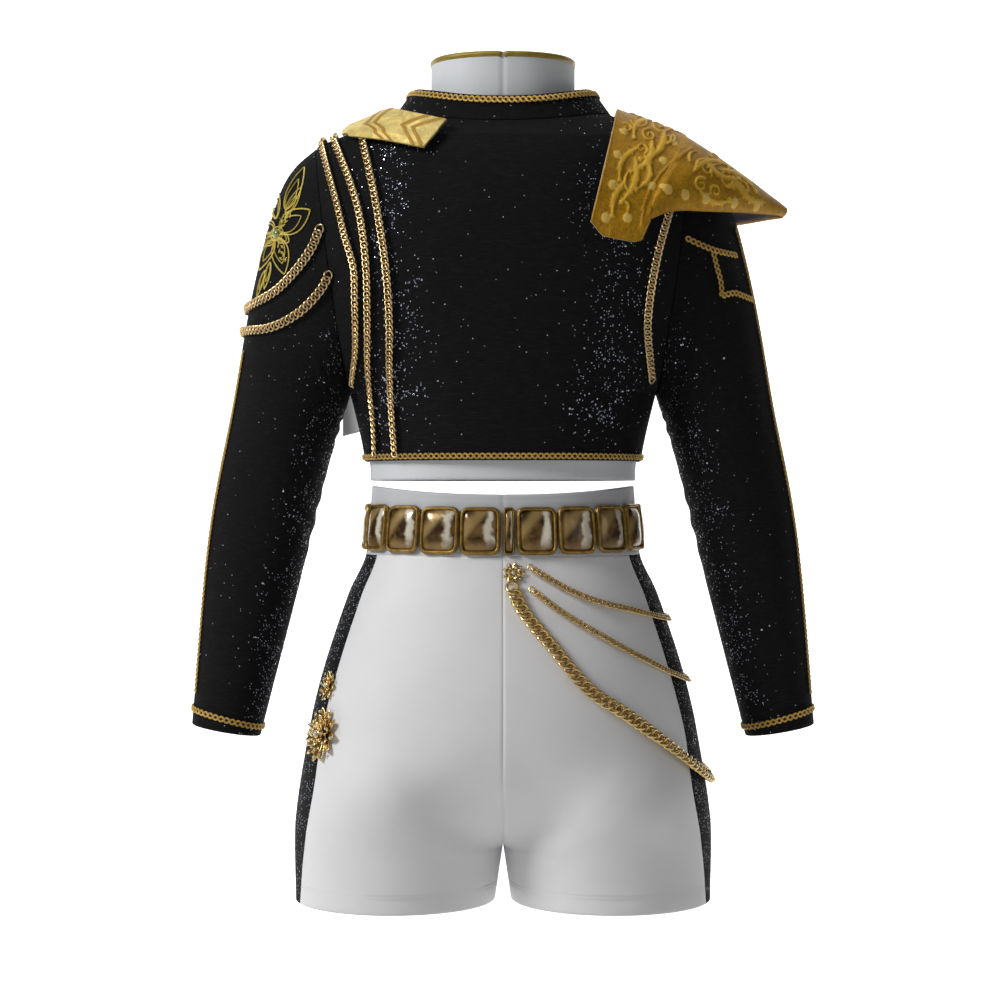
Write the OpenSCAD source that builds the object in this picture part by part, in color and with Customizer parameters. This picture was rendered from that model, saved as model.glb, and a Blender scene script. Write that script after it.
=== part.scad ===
// Two-piece cheer uniform: a cropped sequinned jacket over a white high-necked
// under-top, and high-waisted shorts with a band of cabochons.
// Millimetres, +Z up. The wearer's back faces -Y and the wearer's right is on +X.
// The origin is the centre of the shorts' waist opening.

/* [Jacket body] */
// Half width at the jacket hem
hem_w = 124; // [116:1:132]
// Height of the jacket hem above the waist opening
hem_z = 26; // [22:1:34]
// Half width at the armpit
armpit_w = 137; // [132:1:142]
// Height of the armpit
armpit_z = 85; // [78:1:95]
// Half width across the shoulder tips
shoulder_w = 167; // [160:1:174]
// Height of the shoulder tips
shoulder_z = 306; // [298:1:314]
// Half depth of the armhole
armhole_d = 72; // [62:1:76]
// Thickness of the jacket cloth
cloth = 1.8; // [1.2:0.1:2.2]

/* [Necks] */
// Half width of the jacket neckline
neck_w = 97; // [92:1:102]
// Height of the neckline at the sides
neck_z = 335; // [330:1:340]
// Half width of the stand collar at its top
collar_w = 81.5; // [78:0.5:86]
// Height of the stand collar's top at the sides
collar_z = 357; // [352:1:362]
// Half width of the white inner collar
inner_w = 64.5; // [60:0.5:68]
// Height of the white inner collar's top
inner_z = 383; // [376:1:390]
// Travel of the hidden zip slider behind the neck
zip_travel = 26; // [20:1:28]

/* [Sleeves] */
// Half width of the cuff
cuff_r = 31; // [28:1:35]
// How far the cuff sits forward of the armhole
cuff_forward = 18; // [0:1:24]

/* [Trims] */
// Width of the shoulder chains
chain_w = 7.5; // [6:0.5:9]
// Width of the gimp braid
braid_w = 5; // [4:0.5:6]
// Width of the heavy hip chain
heavy_w = 13; // [11:0.5:15]
// Width of the thin hip chains
thin_w = 6; // [5:0.5:7]
// Diameter of the raised dots on the shoulder cape
stud_d = 8; // [6:0.5:9]

/* [Shorts] */
// Height of the waistband
band_h = 57; // [54:1:60]
// Depth of the crotch below the waist opening
crotch_drop = 318; // [312:1:324]
// Depth of the leg hems below the waist opening
hem_drop = 366; // [356:1:376]
// Width of one cabochon setting
gem_w = 34.5; // [30:0.5:34.5]
// Height of one cabochon setting
gem_h = 41; // [38:0.5:42]
// Number of whole cabochons round the waistband
gem_count = 19; // [17:1:19]
// Width left for the narrow cabochon beside the centre-back seam
part_gem = 11; // [10:1:12]

/* [Hidden] */
$fn = 32;

// Roundness of every body section: 2 is an ellipse, more is squarer
sec_n = 2.2;
// Half depths of the jacket, as [height, depth] behind and in front
BACK = [[26, 88], [85, 96], [140, 104], [200, 110], [250, 109], [285, 102], [306, 94]];
FRONT = [[26, 86], [85, 100], [140, 112], [200, 118], [250, 110], [285, 97], [306, 86]];
neck_b = 80;
neck_f = 74;
neck_dip_b = 15;
neck_dip_f = 23;
collar_b = 73;
collar_f = 70;
inner_b = 58;
inner_foot_z = 345;
under_z = 9;
under_gap = 4.5;
under_cloth = 1.5;
arm_cz = (armpit_z + shoulder_z) / 2;
arm_hz = (shoulder_z - armpit_z) / 2;
// Outer and inner outlines of the right sleeve, as [place along it, [x, z]]
SLEEVE_OUT = [
    [0, [shoulder_w, shoulder_z]], [0.09, [185, 291]], [0.18, [197, 274]], [0.27, [206, 250]],
    [0.36, [214, 225]], [0.5, [228, 165]], [0.64, [243, 81]], [0.82, [266, -40]], [1, [282, -211]]
];
SLEEVE_IN = [
    [0, [armpit_w, armpit_z]], [0.27, [147, 57]], [0.5, [161, 8]], [0.75, [185, -88]],
    [1, [282 - 2 * cuff_r, -222]]
];
SLEEVE_DEPTH = [[0, armhole_d], [0.15, 68], [0.35, 60], [0.55, 54], [0.8, 43], [1, cuff_r]];
// Half width and half depths of the shorts, as [drop, size]
SHORTS_W = [
    [0, 117.5], [57, 123], [92, 138], [142, 155.5], [193, 169.5], [243, 178.5], [293, 186],
    [319, 187], [366, 186]
];
SHORTS_B = [[0, 92], [57, 99], [110, 114], [160, 126], [210, 130], [250, 125], [285, 114], [318, 104]];
SHORTS_F = [[0, 88], [57, 92], [110, 98], [160, 100], [210, 98], [260, 96], [318, 94]];
seat_drop = 205;
// Half depths of one leg behind and in front, as [drop, size]
LEG_B = [[205, 128], [260, 118], [300, 108], [340, 99], [366, 96]];
LEG_F = [[205, 100], [260, 98], [300, 96], [340, 92], [366, 90]];
// How much the thighs swell where the seat divides into the legs
fullness = 0.48;
leg_gap = 7;
seam_gap = 0.4;
// Places round one half of the shorts, from centre back (0) to centre front (1)
// Back edge of the side stripe, as [drop, u]
STRIPE_BACK = [[57, 0.35], [125, 0.35], [230, 0.37], [300, 0.41], [366, 0.44]];
stripe_to = 0.535;
rosette_x = 9;
rosette_drop = 72;

// ---- Small helpers ----
function mix(a, b, t) = a + (b - a) * t;
function clamp01(t) = max(0, min(1, t));
function unit(v) = v / max(norm(v), 0.000001);
function spow(v, p) = sign(v) * pow(abs(v), p);
function steps(a, b, n) = [for (i = [0:n]) mix(a, b, i / n)];
function seg(tbl, k, i = 0) =
    (i >= len(tbl) - 2 || k <= tbl[i + 1][0]) ? i : seg(tbl, k, i + 1);
function slope(tbl, i) =
    let (a = max(i - 1, 0), b = min(i + 1, len(tbl) - 1))
    (tbl[b][1] - tbl[a][1]) / (tbl[b][0] - tbl[a][0]);
// Smooth curve through a table of [key, value] rows
function track(tbl, k) =
    let (i = seg(tbl, k), d = tbl[i + 1][0] - tbl[i][0], t = clamp01((k - tbl[i][0]) / d))
    let (t2 = t * t, t3 = t2 * t)
    (2 * t3 - 3 * t2 + 1) * tbl[i][1] + (t3 - 2 * t2 + t) * d * slope(tbl, i)
    + (3 * t2 - 2 * t3) * tbl[i + 1][1] + (t3 - t2) * d * slope(tbl, i + 1);

// Closed shell between an outer and an inner grid. Seen from outside, columns run
// to the right and rows run up. A loop joins its last column to its first.
module shell(outer, inner, loop = false) {
    rows = len(outer);
    cols = len(outer[0]);
    o = rows * cols;
    cells = loop ? cols : cols - 1;
    top = (rows - 1) * cols;
    points = concat([for (r = outer) each r], [for (r = inner) each r]);
    quads = concat(
        [for (i = [0:rows - 2]) for (j = [0:cells - 1]) let (k = (j + 1) % cols)
            [i * cols + j, i * cols + k, (i + 1) * cols + k, (i + 1) * cols + j]],
        [for (i = [0:rows - 2]) for (j = [0:cells - 1]) let (k = (j + 1) % cols)
            [o + i * cols + j, o + (i + 1) * cols + j, o + (i + 1) * cols + k, o + i * cols + k]],
        [for (j = [0:cells - 1]) let (k = (j + 1) % cols) [j, o + j, o + k, k]],
        [for (j = [0:cells - 1]) let (k = (j + 1) % cols) [top + j, top + k, o + top + k, o + top + j]],
        loop ? [] : [for (i = [0:rows - 2]) let (a = i * cols, b = (i + 1) * cols) [a, b, o + b, o + a]],
        loop ? [] : [for (i = [0:rows - 2]) let (a = (i + 1) * cols - 1, b = a + cols)
            [a, o + a, o + b, b]]);
    faces = [for (q = quads) each [[q[0], q[2], q[1]], [q[0], q[3], q[2]]]];
    polyhedron(points = points, faces = faces, convexity = 10);
}

// Flat-bottomed strand that lies along points on a surface with the given normals
module strand(pts, nrm, w, h, sides = 6, closed = false) {
    n = len(pts);
    rings = [for (i = [0:n - 1])
        let (a = pts[closed ? (i + n - 1) % n : max(i - 1, 0)])
        let (b = pts[closed ? (i + 1) % n : min(i + 1, n - 1)])
        let (along = unit(b - a), up = unit(nrm[i] - (nrm[i] * along) * along), side = cross(along, up))
        each [for (j = [0:sides - 1]) let (q = 360 * j / sides)
            pts[i] + up * (h / 2) * (1 + cos(q)) + side * (w / 2) * sin(q)]];
    spans = closed ? n : n - 1;
    walls = [for (i = [0:spans - 1]) for (j = [0:sides - 1])
        let (k = (j + 1) % sides, p = ((i + 1) % n) * sides, s = i * sides)
        each [[s + j, p + k, s + k], [s + j, p + j, p + k]]];
    last = (n - 1) * sides;
    caps = closed ? [] : concat(
        [for (j = [1:sides - 2]) [0, j, j + 1]],
        [for (j = [1:sides - 2]) [last, last + j + 1, last + j]]);
    polyhedron(points = rings, faces = concat(walls, caps), convexity = 10);
}

// Turn the children so that their +Z points along n
module facing(n) {
    rotate([0, acos(n[2]), atan2(n[1], n[0])])
        children();
}

// ---- Jacket body surface ----
function arm_x(z) = mix(armpit_w, shoulder_w, (z - armpit_z) / (shoulder_z - armpit_z));
function in_arm(z) = z > armpit_z && z < shoulder_z;
function edge_y(z) = in_arm(z) ? armhole_d * sqrt(1 - pow((z - arm_cz) / arm_hz, 2)) : 0;
function depth(z, front) = track(front ? FRONT : BACK, z);
function half_w(z, front) =
    z <= armpit_z ? mix(hem_w, armpit_w, pow(clamp01((z - hem_z) / (armpit_z - hem_z)), 1.2))
    : arm_x(min(z, shoulder_z)) / pow(1 - pow(edge_y(z) / depth(z, front), sec_n), 1 / sec_n);
function rise(z) = clamp01((z - shoulder_z) / (neck_z - shoulder_z));
function wide_at(z, front) = mix(half_w(min(z, shoulder_z), front), neck_w, rise(z));
function deep_at(z, front) =
    mix(depth(min(z, shoulder_z), front), front ? neck_f : neck_b, rise(z));
function neck_line(t, front) = neck_z - (front ? neck_dip_f : neck_dip_b) * pow(cos(t), 2);
function level_z(v) =
    v <= 1 ? mix(hem_z, armpit_z, v) : v <= 2 ? arm_cz - arm_hz * cos(180 * (v - 1)) : shoulder_z;
// g: 0 centre back, 1 side seam or armhole edge, 2 centre front. v: 0 hem, 1 armpit,
// 2 shoulder tip, 3 neckline.
function jacket(g, v) =
    let (front = g > 1, q = front ? 2 - g : g, s = max(v - 2, 0), z = level_z(v))
    let (a0 = half_w(z, front), a = mix(a0, neck_w, s))
    let (b = mix(depth(z, front), front ? neck_f : neck_b, s))
    let (t = q * (in_arm(z) ? asin(pow(arm_x(z) / a0, sec_n / 2)) : 90))
    [
        a * spow(sin(t), 2 / sec_n),
        (front ? 1 : -1) * b * pow(abs(cos(t)), 2 / sec_n),
        mix(z, neck_line(t, front), s)
    ];
function jacket_n(g, v) =
    let (e = 0.02, lo = g > 1 ? 1.0001 : -1, hi = g > 1 ? 2 : 1)
    let (right = jacket(min(g + e, hi), v) - jacket(max(g - e, lo), v))
    let (up = jacket(g, min(v + e, 3)) - jacket(g, max(v - e, 0)))
    unit(cross(right, up));
// Value that is 1 on the surface and more outside it, for places given in x, y and z
function jacket_f(p) =
    pow(abs(p[0]) / wide_at(p[2], p[1] > 0), sec_n) + pow(abs(p[1]) / deep_at(p[2], p[1] > 0), sec_n);
function jacket_grad(p) =
    let (e = 0.5)
    unit([
        jacket_f(p + [e, 0, 0]) - jacket_f(p - [e, 0, 0]),
        jacket_f(p + [0, e, 0]) - jacket_f(p - [0, e, 0]),
        jacket_f(p + [0, 0, e]) - jacket_f(p - [0, 0, e])
    ]);
function on_jacket(x, z, front) =
    let (a = wide_at(z, front), b = deep_at(z, front))
    let (y = b * pow(max(1 - pow(min(abs(x) / a, 1), sec_n), 0), 1 / sec_n))
    [x, front ? y : -y, z];

body_rows = concat([0, 0.35, 0.7], steps(1, 2, 10), [2.25, 2.5, 2.75, 3]);

module body_piece(cols, skin, thick, rows = body_rows) {
    outer = [for (v = rows) [for (g = cols) jacket(g, v) - skin * jacket_n(g, v)]];
    inner = [for (v = rows) [for (g = cols) jacket(g, v) - (skin + thick) * jacket_n(g, v)]];
    shell(outer, inner);
}

module back_panel() {
    color([0.09, 0.09, 0.09])
        body_piece(steps(-1, 1, 20), 0, cloth);
}

module front_panel_right() {
    color([0.09, 0.09, 0.09])
        body_piece(steps(1.012, 1.996, 10), 0, cloth);
}

module front_panel_left() {
    mirror([1, 0, 0])
        front_panel_right();
}

// ---- Necks ----
// A ring round the neck: t is 0 at centre back and 180 at centre front
function neck_ring(a, bb, bf, t) = [
    a * spow(sin(t), 2 / sec_n),
    (cos(t) > 0 ? -bb : bf) * pow(abs(cos(t)), 2 / sec_n)
];
function collar_pt(t, s) =
    let (front = cos(t) < 0, dip = front ? 19 : 15)
    let (xy = neck_ring(mix(neck_w, collar_w, s), mix(neck_b, collar_b, s), mix(neck_f, collar_f, s), t))
    [xy[0], xy[1], mix(neck_line(t, front) + 0.6, collar_z - dip * pow(cos(t), 2), s)];
function collar_n(t) =
    unit(cross(collar_pt(t + 2, 0.8) - collar_pt(t - 2, 0.8), collar_pt(t, 1) - collar_pt(t, 0.6)));
function inner_pt(t, z, skin = 0) =
    let (xy = neck_ring(inner_w - skin, inner_b - skin, inner_b - skin, t))
    [xy[0], xy[1], z];
function flat_out(t) = [sin(t), -cos(t), 0];

module stand_collar() {
    turns = steps(0, 350, 35);
    outer = [for (s = [0, 0.5, 1]) [for (t = turns) collar_pt(t, s)]];
    inner = [for (s = [0, 0.5, 1]) [for (t = turns) collar_pt(t, s) - cloth * flat_out(t)]];
    color([0.09, 0.09, 0.09])
        shell(outer, inner, loop = true);
}

module collar_braid() {
    turns = steps(0, 350, 35);
    color([0.75, 0.57, 0.22])
        strand(
            [for (t = turns) collar_pt(t, 0.82) + 0.5 * collar_n(t)],
            [for (t = turns) collar_n(t)], braid_w + 1, 1.6, closed = true);
}

module inner_collar() {
    turns = steps(0, 350, 35);
    levels = [inner_foot_z, mix(inner_foot_z, inner_z, 0.5), inner_z];
    outer = [for (z = levels) [for (t = turns) inner_pt(t, z)]];
    inner = [for (z = levels) [for (t = turns) inner_pt(t, z, under_cloth)]];
    color([0.9, 0.9, 0.91])
        shell(outer, inner, loop = true);
}

module collar_binding() {
    turns = steps(0, 350, 35);
    color([0.6, 0.5, 0.2])
        strand(
            [for (t = turns) inner_pt(t, inner_z + 0.1, under_cloth / 2)],
            [for (t = turns) [0, 0, 1]], 3.6, 4.4, closed = true);
}

zip_y = -(inner_b - under_cloth - 1.2);
module neck_zip_tapes() {
    color([0.85, 0.85, 0.86])
        for (side = [-1, 1])
            translate([side * 4 - 3, zip_y, inner_z - zip_travel - 12])
                cube([6, 0.8, zip_travel + 11]);
}

module zip_slider() {
    color([0.75, 0.75, 0.78])
        translate([-3, zip_y + 1.3, inner_z - 11]) {
            difference() {
                cube([6, 3, 9]);
                translate([-1, 1.4, 2])
                    cube([8, 0.7, 5]);
            }
            for (side = [0, 5.4])
                translate([side, 2.9, 4.8])
                    cube([0.6, 3.6, 2.4]);
        }
}

module zip_pull() {
    color([0.75, 0.75, 0.78])
        translate([0, zip_y + 7.2, inner_z - 5])
            rotate([90, 0, 0])
                linear_extrude(height = 1)
                    difference() {
                        union() {
                            translate([-2, -17])
                                square([4, 17]);
                            circle(r = 2);
                            translate([0, -17])
                                circle(r = 2);
                        }
                        circle(r = 0.8);
                    }
}

// ---- Under-top ----
function under_cols(front) = front ? steps(1.012, 2.988, 16) : steps(-0.988, 0.988, 16);
// g past 2 runs on round the front to the left side
function both(g, v) = g > 2 ? let (p = jacket(4 - g, v)) [-p[0], p[1], p[2]] : jacket(g, v);
function both_n(g, v) = g > 2 ? let (p = jacket_n(4 - g, v)) [-p[0], p[1], p[2]] : jacket_n(g, v);
function under_grid(gs, skin) = concat(
    [[for (g = gs) let (p = both(g, 0) - (skin + 0.5) * both_n(g, 0)) [p[0], p[1], under_z]]],
    [for (v = concat([0.35], steps(1.05, 1.95, 7), [2.4, 2.9])) [for (g = gs) both(g, v) - skin * both_n(g, v)]],
    [[for (g = gs) inner_pt(g * 90, inner_foot_z - 0.6, skin - under_gap)]]);

module under_top(front) {
    gs = under_cols(front);
    color([0.88, 0.88, 0.89])
        shell(under_grid(gs, under_gap), under_grid(gs, under_gap + under_cloth));
}

module under_top_back() {
    under_top(false);
}

module under_top_front() {
    under_top(true);
}

module hem_braid() {
    gs = steps(-1.9, 2, 39);
    points = [for (g = gs) let (m = abs(g), p = jacket(m, 0.055), n = jacket_n(m, 0.055))
        [p[0] * (g < 0 ? -1 : 1), p[1], p[2]] + 0.4 * [n[0] * (g < 0 ? -1 : 1), n[1], n[2]]];
    normals = [for (g = gs) let (n = jacket_n(abs(g), 0.055)) [n[0] * (g < 0 ? -1 : 1), n[1], n[2]]];
    color([0.75, 0.57, 0.22])
        strand(points, normals, braid_w, 1.6, closed = true);
}

// ---- Chains and braids on the jacket body ----
// Each route is [place, [x, z]] up the back; the same route runs down the front.
// Places close up towards the far end, where a route turns over an edge.
function eased(n) = [for (k = steps(0, 1, n)) 1 - pow(1 - k, 2)];
CHAIN_OUTER = [
    [0, [-131, 95]], [0.13, [-127, 122]], [0.33, [-127, 165]], [0.48, [-128, 192]],
    [0.63, [-136, 220]], [0.76, [-142, 245]], [0.89, [-149, 270]], [1, [-160, 309]]
];
CHAIN_MIDDLE = [
    [0, [-111, 34]], [0.12, [-112, 60]], [0.28, [-116, 104]], [0.46, [-116, 148]],
    [0.63, [-117, 194]], [0.77, [-122, 233]], [0.9, [-131, 268]], [1, [-146, 315]]
];
CHAIN_INNER = [
    [0, [-93, 33]], [0.12, [-95, 60]], [0.28, [-97, 103]], [0.46, [-97, 147]],
    [0.63, [-100, 191]], [0.77, [-106, 232]], [0.9, [-113, 268]], [1, [-126, 323]]
];
ARMHOLE_ROUTE = [
    [0, [129, 98]], [0.2, [124, 135]], [0.4, [125, 160]], [0.6, [129, 187]], [0.8, [135, 214]],
    [1, [143, 242]]
];

module jacket_strand(route, w, h) {
    n = 16;
    places = eased(n);
    back = [for (i = [0:n - 1]) let (p = track(route, places[i])) on_jacket(p[0], p[1], false)];
    front = [for (i = [n - 1:-1:0]) let (p = track(route, places[i])) on_jacket(p[0], p[1], true)];
    points = concat(back, [on_jacket(route_end(route), track(route, 1)[1], false)], front);
    normals = [for (p = points) jacket_grad(p)];
    strand([for (i = [0:len(points) - 1]) points[i] + 0.9 * normals[i]], normals, w, h);
}
// How far out the jacket's edge is where a route turns over it
function route_end(route) = -wide_at(track(route, 1)[1], false);

module shoulder_chain_outer() {
    color([0.78, 0.6, 0.3])
        jacket_strand(CHAIN_OUTER, chain_w, 3);
}

module shoulder_chain_middle() {
    color([0.78, 0.6, 0.3])
        jacket_strand(CHAIN_MIDDLE, chain_w, 3);
}

module shoulder_chain_inner() {
    color([0.78, 0.6, 0.3])
        jacket_strand(CHAIN_INNER, chain_w, 3);
}

module armhole_chain() {
    points = [for (s = steps(0, 1, 14)) let (p = track(ARMHOLE_ROUTE, s)) on_jacket(p[0], p[1], false)];
    normals = [for (p = points) jacket_grad(p)];
    color([0.78, 0.6, 0.3])
        strand([for (i = [0:14]) points[i] + 0.7 * normals[i]], normals, chain_w - 1, 3);
}

// ---- Epaulette on the left shoulder ----
// Upper and lower edges of the flap, as [place, [x, z]]
EPAULETTE_UP = [[0, [-143, 314]], [0.5, [-103, 329]], [0.75, [-76, 322]], [1, [-48, 315]]];
EPAULETTE_LOW = [[0, [-142, 308]], [0.5, [-100, 299]], [0.75, [-84, 295]], [1, [-67, 291]]];
function epaulette_pt(s, q) =
    let (p = mix(track(EPAULETTE_UP, s), track(EPAULETTE_LOW, s), q))
    on_jacket(p[0], p[1], false);

module epaulette_layer(skin, thick) {
    rows = [for (q = steps(1, 0, 5)) [for (s = steps(0, 1, 9)) epaulette_pt(s, q)]];
    outer = [for (r = rows) [for (p = r) p + (skin + thick) * jacket_grad(p)]];
    inner = [for (r = rows) [for (p = r) p + skin * jacket_grad(p)]];
    shell(outer, inner);
}

module epaulette_cover() {
    color([0.88, 0.76, 0.45])
        epaulette_layer(6.6, 1);
}

module epaulette_lining() {
    color([0.6, 0.6, 0.62])
        epaulette_layer(5.2, 1.2);
}

module epaulette_chevrons() {
    color([0.7, 0.55, 0.16])
        for (tip = [0.3, 0.39, 0.69, 0.78]) {
            route = [for (q = steps(0.08, 0.92, 8)) epaulette_pt(tip + 0.36 * abs(q - 0.5), q)];
            normals = [for (p = route) jacket_grad(p)];
            strand([for (i = [0:8]) route[i] + 7.8 * normals[i]], normals, 3.2, 0.8);
        }
}

// ---- Shoulder cape on the right shoulder ----
// Ridge over the shoulder and the low edge behind it, as [place, [x, y, z]]
CAPE_RIDGE = [[0, [101, 0, 341]], [0.25, [148, 0, 324]], [0.5, [181, 0, 304]], [0.75, [220, 0, 276]],
    [1, [253, 0, 251]]];
CAPE_LOW = [[0, [72, -124, 229]], [0.16, [85, -121, 218]], [0.3, [112, -116, 213]], [0.38, [120, -112, 226]],
    [0.5, [138, -104, 238]], [0.7, [175, -78, 243]], [0.85, [212, -46, 246]], [1, [250, -6, 249]]];
function cape_pt(r, q) =
    let (top = track(CAPE_RIDGE, r), low = track(CAPE_LOW, r), a = 90 * abs(q))
    [
        mix(top[0], low[0], 1 - cos(a)),
        sign(q) * -low[1] * sin(a),
        mix(top[2], low[2], 1 - cos(a))
    ];
function cape_n(r, q) =
    let (e = 0.01, across = cape_pt(min(r + e, 1), q) - cape_pt(max(r - e, 0), q))
    let (round = cape_pt(r, q + e) - cape_pt(r, q - e))
    unit(cross(across, round));
cape_q = steps(-1, 1, 12);
cape_r = steps(0, 1, 11);

module cape_layer(skin, thick) {
    outer = [for (q = cape_q) [for (r = cape_r) cape_pt(r, q) + (skin + thick) * cape_n(r, q)]];
    inner = [for (q = cape_q) [for (r = cape_r) cape_pt(r, q) + skin * cape_n(r, q)]];
    shell(outer, inner);
}

module cape_cover() {
    color([0.67, 0.5, 0.14])
        cape_layer(3.2, 1);
}

module cape_core() {
    color([0.85, 0.85, 0.8])
        cape_layer(1.1, 1.8);
}

module cape_lining() {
    color([0.45, 0.42, 0.44])
        cape_layer(0, 0.8);
}

// Dots as [along, across], repeated in front of the shoulder
CAPE_DOTS = [[0.05, 0.45], [0.05, 0.62], [0.07, 0.78], [0.09, 0.93], [0.2, 0.9], [0.26, 0.72],
    [0.27, 0.55], [0.3, 0.38], [0.42, 0.8], [0.52, 0.86], [0.64, 0.86], [0.77, 0.84], [0.86, 0.8]];

module cape_studs() {
    color([0.8, 0.64, 0.25])
        for (dot = CAPE_DOTS)
            for (side = [-1, 1])
                translate(cape_pt(dot[0], side * dot[1]) + 4.8 * cape_n(dot[0], side * dot[1]))
                    facing(cape_n(dot[0], side * dot[1]))
                        cylinder(h = 0.8, d1 = stud_d, d2 = stud_d - 2);
}

// ---- Drape that hangs from the left of the chest ----
drape_top = 214;
drape_low = 52;
function drape_pt(s, q) =
    let (x = mix(-152, -62, s), z = mix(mix(drape_low, drape_low + 26, s), drape_top, q))
    [x, 128 - 0.0013 * pow(x + 62, 2) - 4 * q, z];

module drape_layer(skin, thick) {
    cols = steps(1, 0, 8);
    outer = [for (q = steps(0, 1, 6)) [for (s = cols) drape_pt(s, q) + [0, skin + thick, 0]]];
    inner = [for (q = steps(0, 1, 6)) [for (s = cols) drape_pt(s, q) + [0, skin, 0]]];
    shell(outer, inner);
}

module drape_cover() {
    color([0.67, 0.5, 0.14])
        drape_layer(1.4, 1);
}

module drape_lining() {
    color([0.75, 0.75, 0.76])
        drape_layer(0, 1.2);
}

// ---- Sleeves ----
// t: 0 armhole, 1 cuff. w: 0 inner side, 90 back, 180 outer side, 270 front.
function sleeve_pt(w, t) =
    let (o = track(SLEEVE_OUT, t), i = track(SLEEVE_IN, t), c = (o + i) / 2, h = (o - i) / 2)
    let (clear = 0.8 * (1 - clamp01(t * 8)))
    [
        c[0] - h[0] * cos(w) + clear,
        cuff_forward * t * t - track(SLEEVE_DEPTH, t) * sin(w),
        c[1] - h[1] * cos(w)
    ];
function sleeve_n(w, t) =
    let (e = 0.01, right = sleeve_pt(w + 2, t) - sleeve_pt(w - 2, t))
    let (up = sleeve_pt(w, max(t - e, 0)) - sleeve_pt(w, min(t + e, 1)))
    unit(cross(right, up));
// Place along the sleeve whose section passes the point [x, z], found by halving
function cut_side(p, t) =
    let (o = track(SLEEVE_OUT, t), i = track(SLEEVE_IN, t))
    (o[0] - i[0]) * (p[1] - i[1]) - (o[1] - i[1]) * (p[0] - i[0]);
function find_t(p, lo = 0, hi = 1, n = 14) =
    let (m = (lo + hi) / 2)
    n == 0 ? m : cut_side(p, m) > 0 ? find_t(p, lo, m, n - 1) : find_t(p, m, hi, n - 1);
function sleeve_wt(p, front) =
    let (t = find_t(p), o = track(SLEEVE_OUT, t), i = track(SLEEVE_IN, t))
    let (f = clamp01(((p - i) * (o - i)) / pow(norm(o - i), 2)), w = acos(1 - 2 * f))
    [front ? 360 - w : w, t];

sleeve_rows = [1, 0.92, 0.84, 0.76, 0.68, 0.6, 0.52, 0.44, 0.36, 0.27, 0.18, 0.09, 0];
sleeve_turns = steps(0, 345, 23);

module sleeve() {
    outer = [for (t = sleeve_rows) [for (w = sleeve_turns) sleeve_pt(w, t)]];
    inner = [for (t = sleeve_rows) [for (w = sleeve_turns)
        let (p = sleeve_pt(w, t) - cloth * sleeve_n(w, t))
        [t == 0 ? arm_x(p[2]) + 0.8 : p[0], p[1], p[2]]]];
    shell(outer, inner, loop = true);
}

module sleeve_right() {
    color([0.09, 0.09, 0.09])
        sleeve();
}

module sleeve_left() {
    color([0.09, 0.09, 0.09])
        mirror([1, 0, 0])
            sleeve();
}

module cuff_braid() {
    strand(
        [for (w = sleeve_turns) sleeve_pt(w, 0.985) + 0.4 * sleeve_n(w, 0.985)],
        [for (w = sleeve_turns) sleeve_n(w, 0.985)], braid_w, 1.6, closed = true);
}

module cuff_braid_right() {
    color([0.75, 0.57, 0.22])
        cuff_braid();
}

module cuff_braid_left() {
    color([0.75, 0.57, 0.22])
        mirror([1, 0, 0])
            cuff_braid();
}

seam_w = 154;

module seam_braid(from) {
    ts = steps(0.965, from, 22);
    strand(
        [for (t = ts) sleeve_pt(seam_w, t) + 0.5 * sleeve_n(seam_w, t)],
        [for (t = ts) sleeve_n(seam_w, t)], 4, 1.4);
}

module seam_braid_right() {
    color([0.75, 0.57, 0.22])
        seam_braid(0.3);
}

module seam_braid_left() {
    color([0.75, 0.57, 0.22])
        mirror([1, 0, 0])
            seam_braid(0.56);
}

// Routes on a sleeve, as [place, [x, z]] from the armhole to the outer side
SWAG_UPPER = [[0, [158, 226]], [0.3, [167, 207]], [0.55, [183, 187]], [0.8, [203, 171]], [1, [229, 161]]];
SWAG_LOWER = [[0, [150, 186]], [0.3, [160, 171]], [0.55, [178, 154]], [0.8, [204, 142]], [1, [232, 141]]];

// Swag round the sleeve from the back of the armhole to the front of it
module swag(route, w, h) {
    n = 14;
    places_out = eased(n);
    back = [for (i = [0:n - 1]) sleeve_wt(track(route, places_out[i]), false)];
    front = [for (i = [n - 1:-1:0]) sleeve_wt(track(route, places_out[i]), true)];
    places = concat(back, [[180, find_t(track(route, 1))]], front);
    strand(
        [for (p = places) sleeve_pt(p[0], p[1]) + 1.1 * sleeve_n(p[0], p[1])],
        [for (p = places) sleeve_n(p[0], p[1])], w, h);
}

module sleeve_chain_upper() {
    color([0.78, 0.6, 0.3])
        mirror([1, 0, 0])
            swag(SWAG_UPPER, chain_w, 3);
}

module sleeve_chain_lower() {
    color([0.78, 0.6, 0.3])
        mirror([1, 0, 0])
            swag(SWAG_LOWER, chain_w, 3);
}

// Sleeve flower: petals round a centre on the outer side of the upper arm
flower_w = 146;
flower_t = 0.29;
function flower_place(turn, reach) =
    [flower_w + reach * 0.66 * cos(turn), flower_t + reach * 0.0042 * sin(turn)];

module flower_embroidery() {
    color([0.72, 0.55, 0.2])
        mirror([1, 0, 0])
            for (turn = [0:45:315])
                let (a = flower_place(turn, 26), p = sleeve_pt(a[0], a[1]), n = sleeve_n(a[0], a[1]))
                    translate(p + 1.4 * n)
                        facing(n)
                            cylinder(h = 1.2, r = 8);
}

module flower_stone() {
    n = sleeve_n(flower_w, flower_t);
    color([0.85, 0.7, 0.35])
        mirror([1, 0, 0])
            translate(sleeve_pt(flower_w, flower_t) + 1.4 * n)
                facing(n)
                    intersection() {
                        translate([0, 0, -2])
                            sphere(r = 6);
                        cylinder(h = 6, r = 6);
                    }
}

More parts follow.
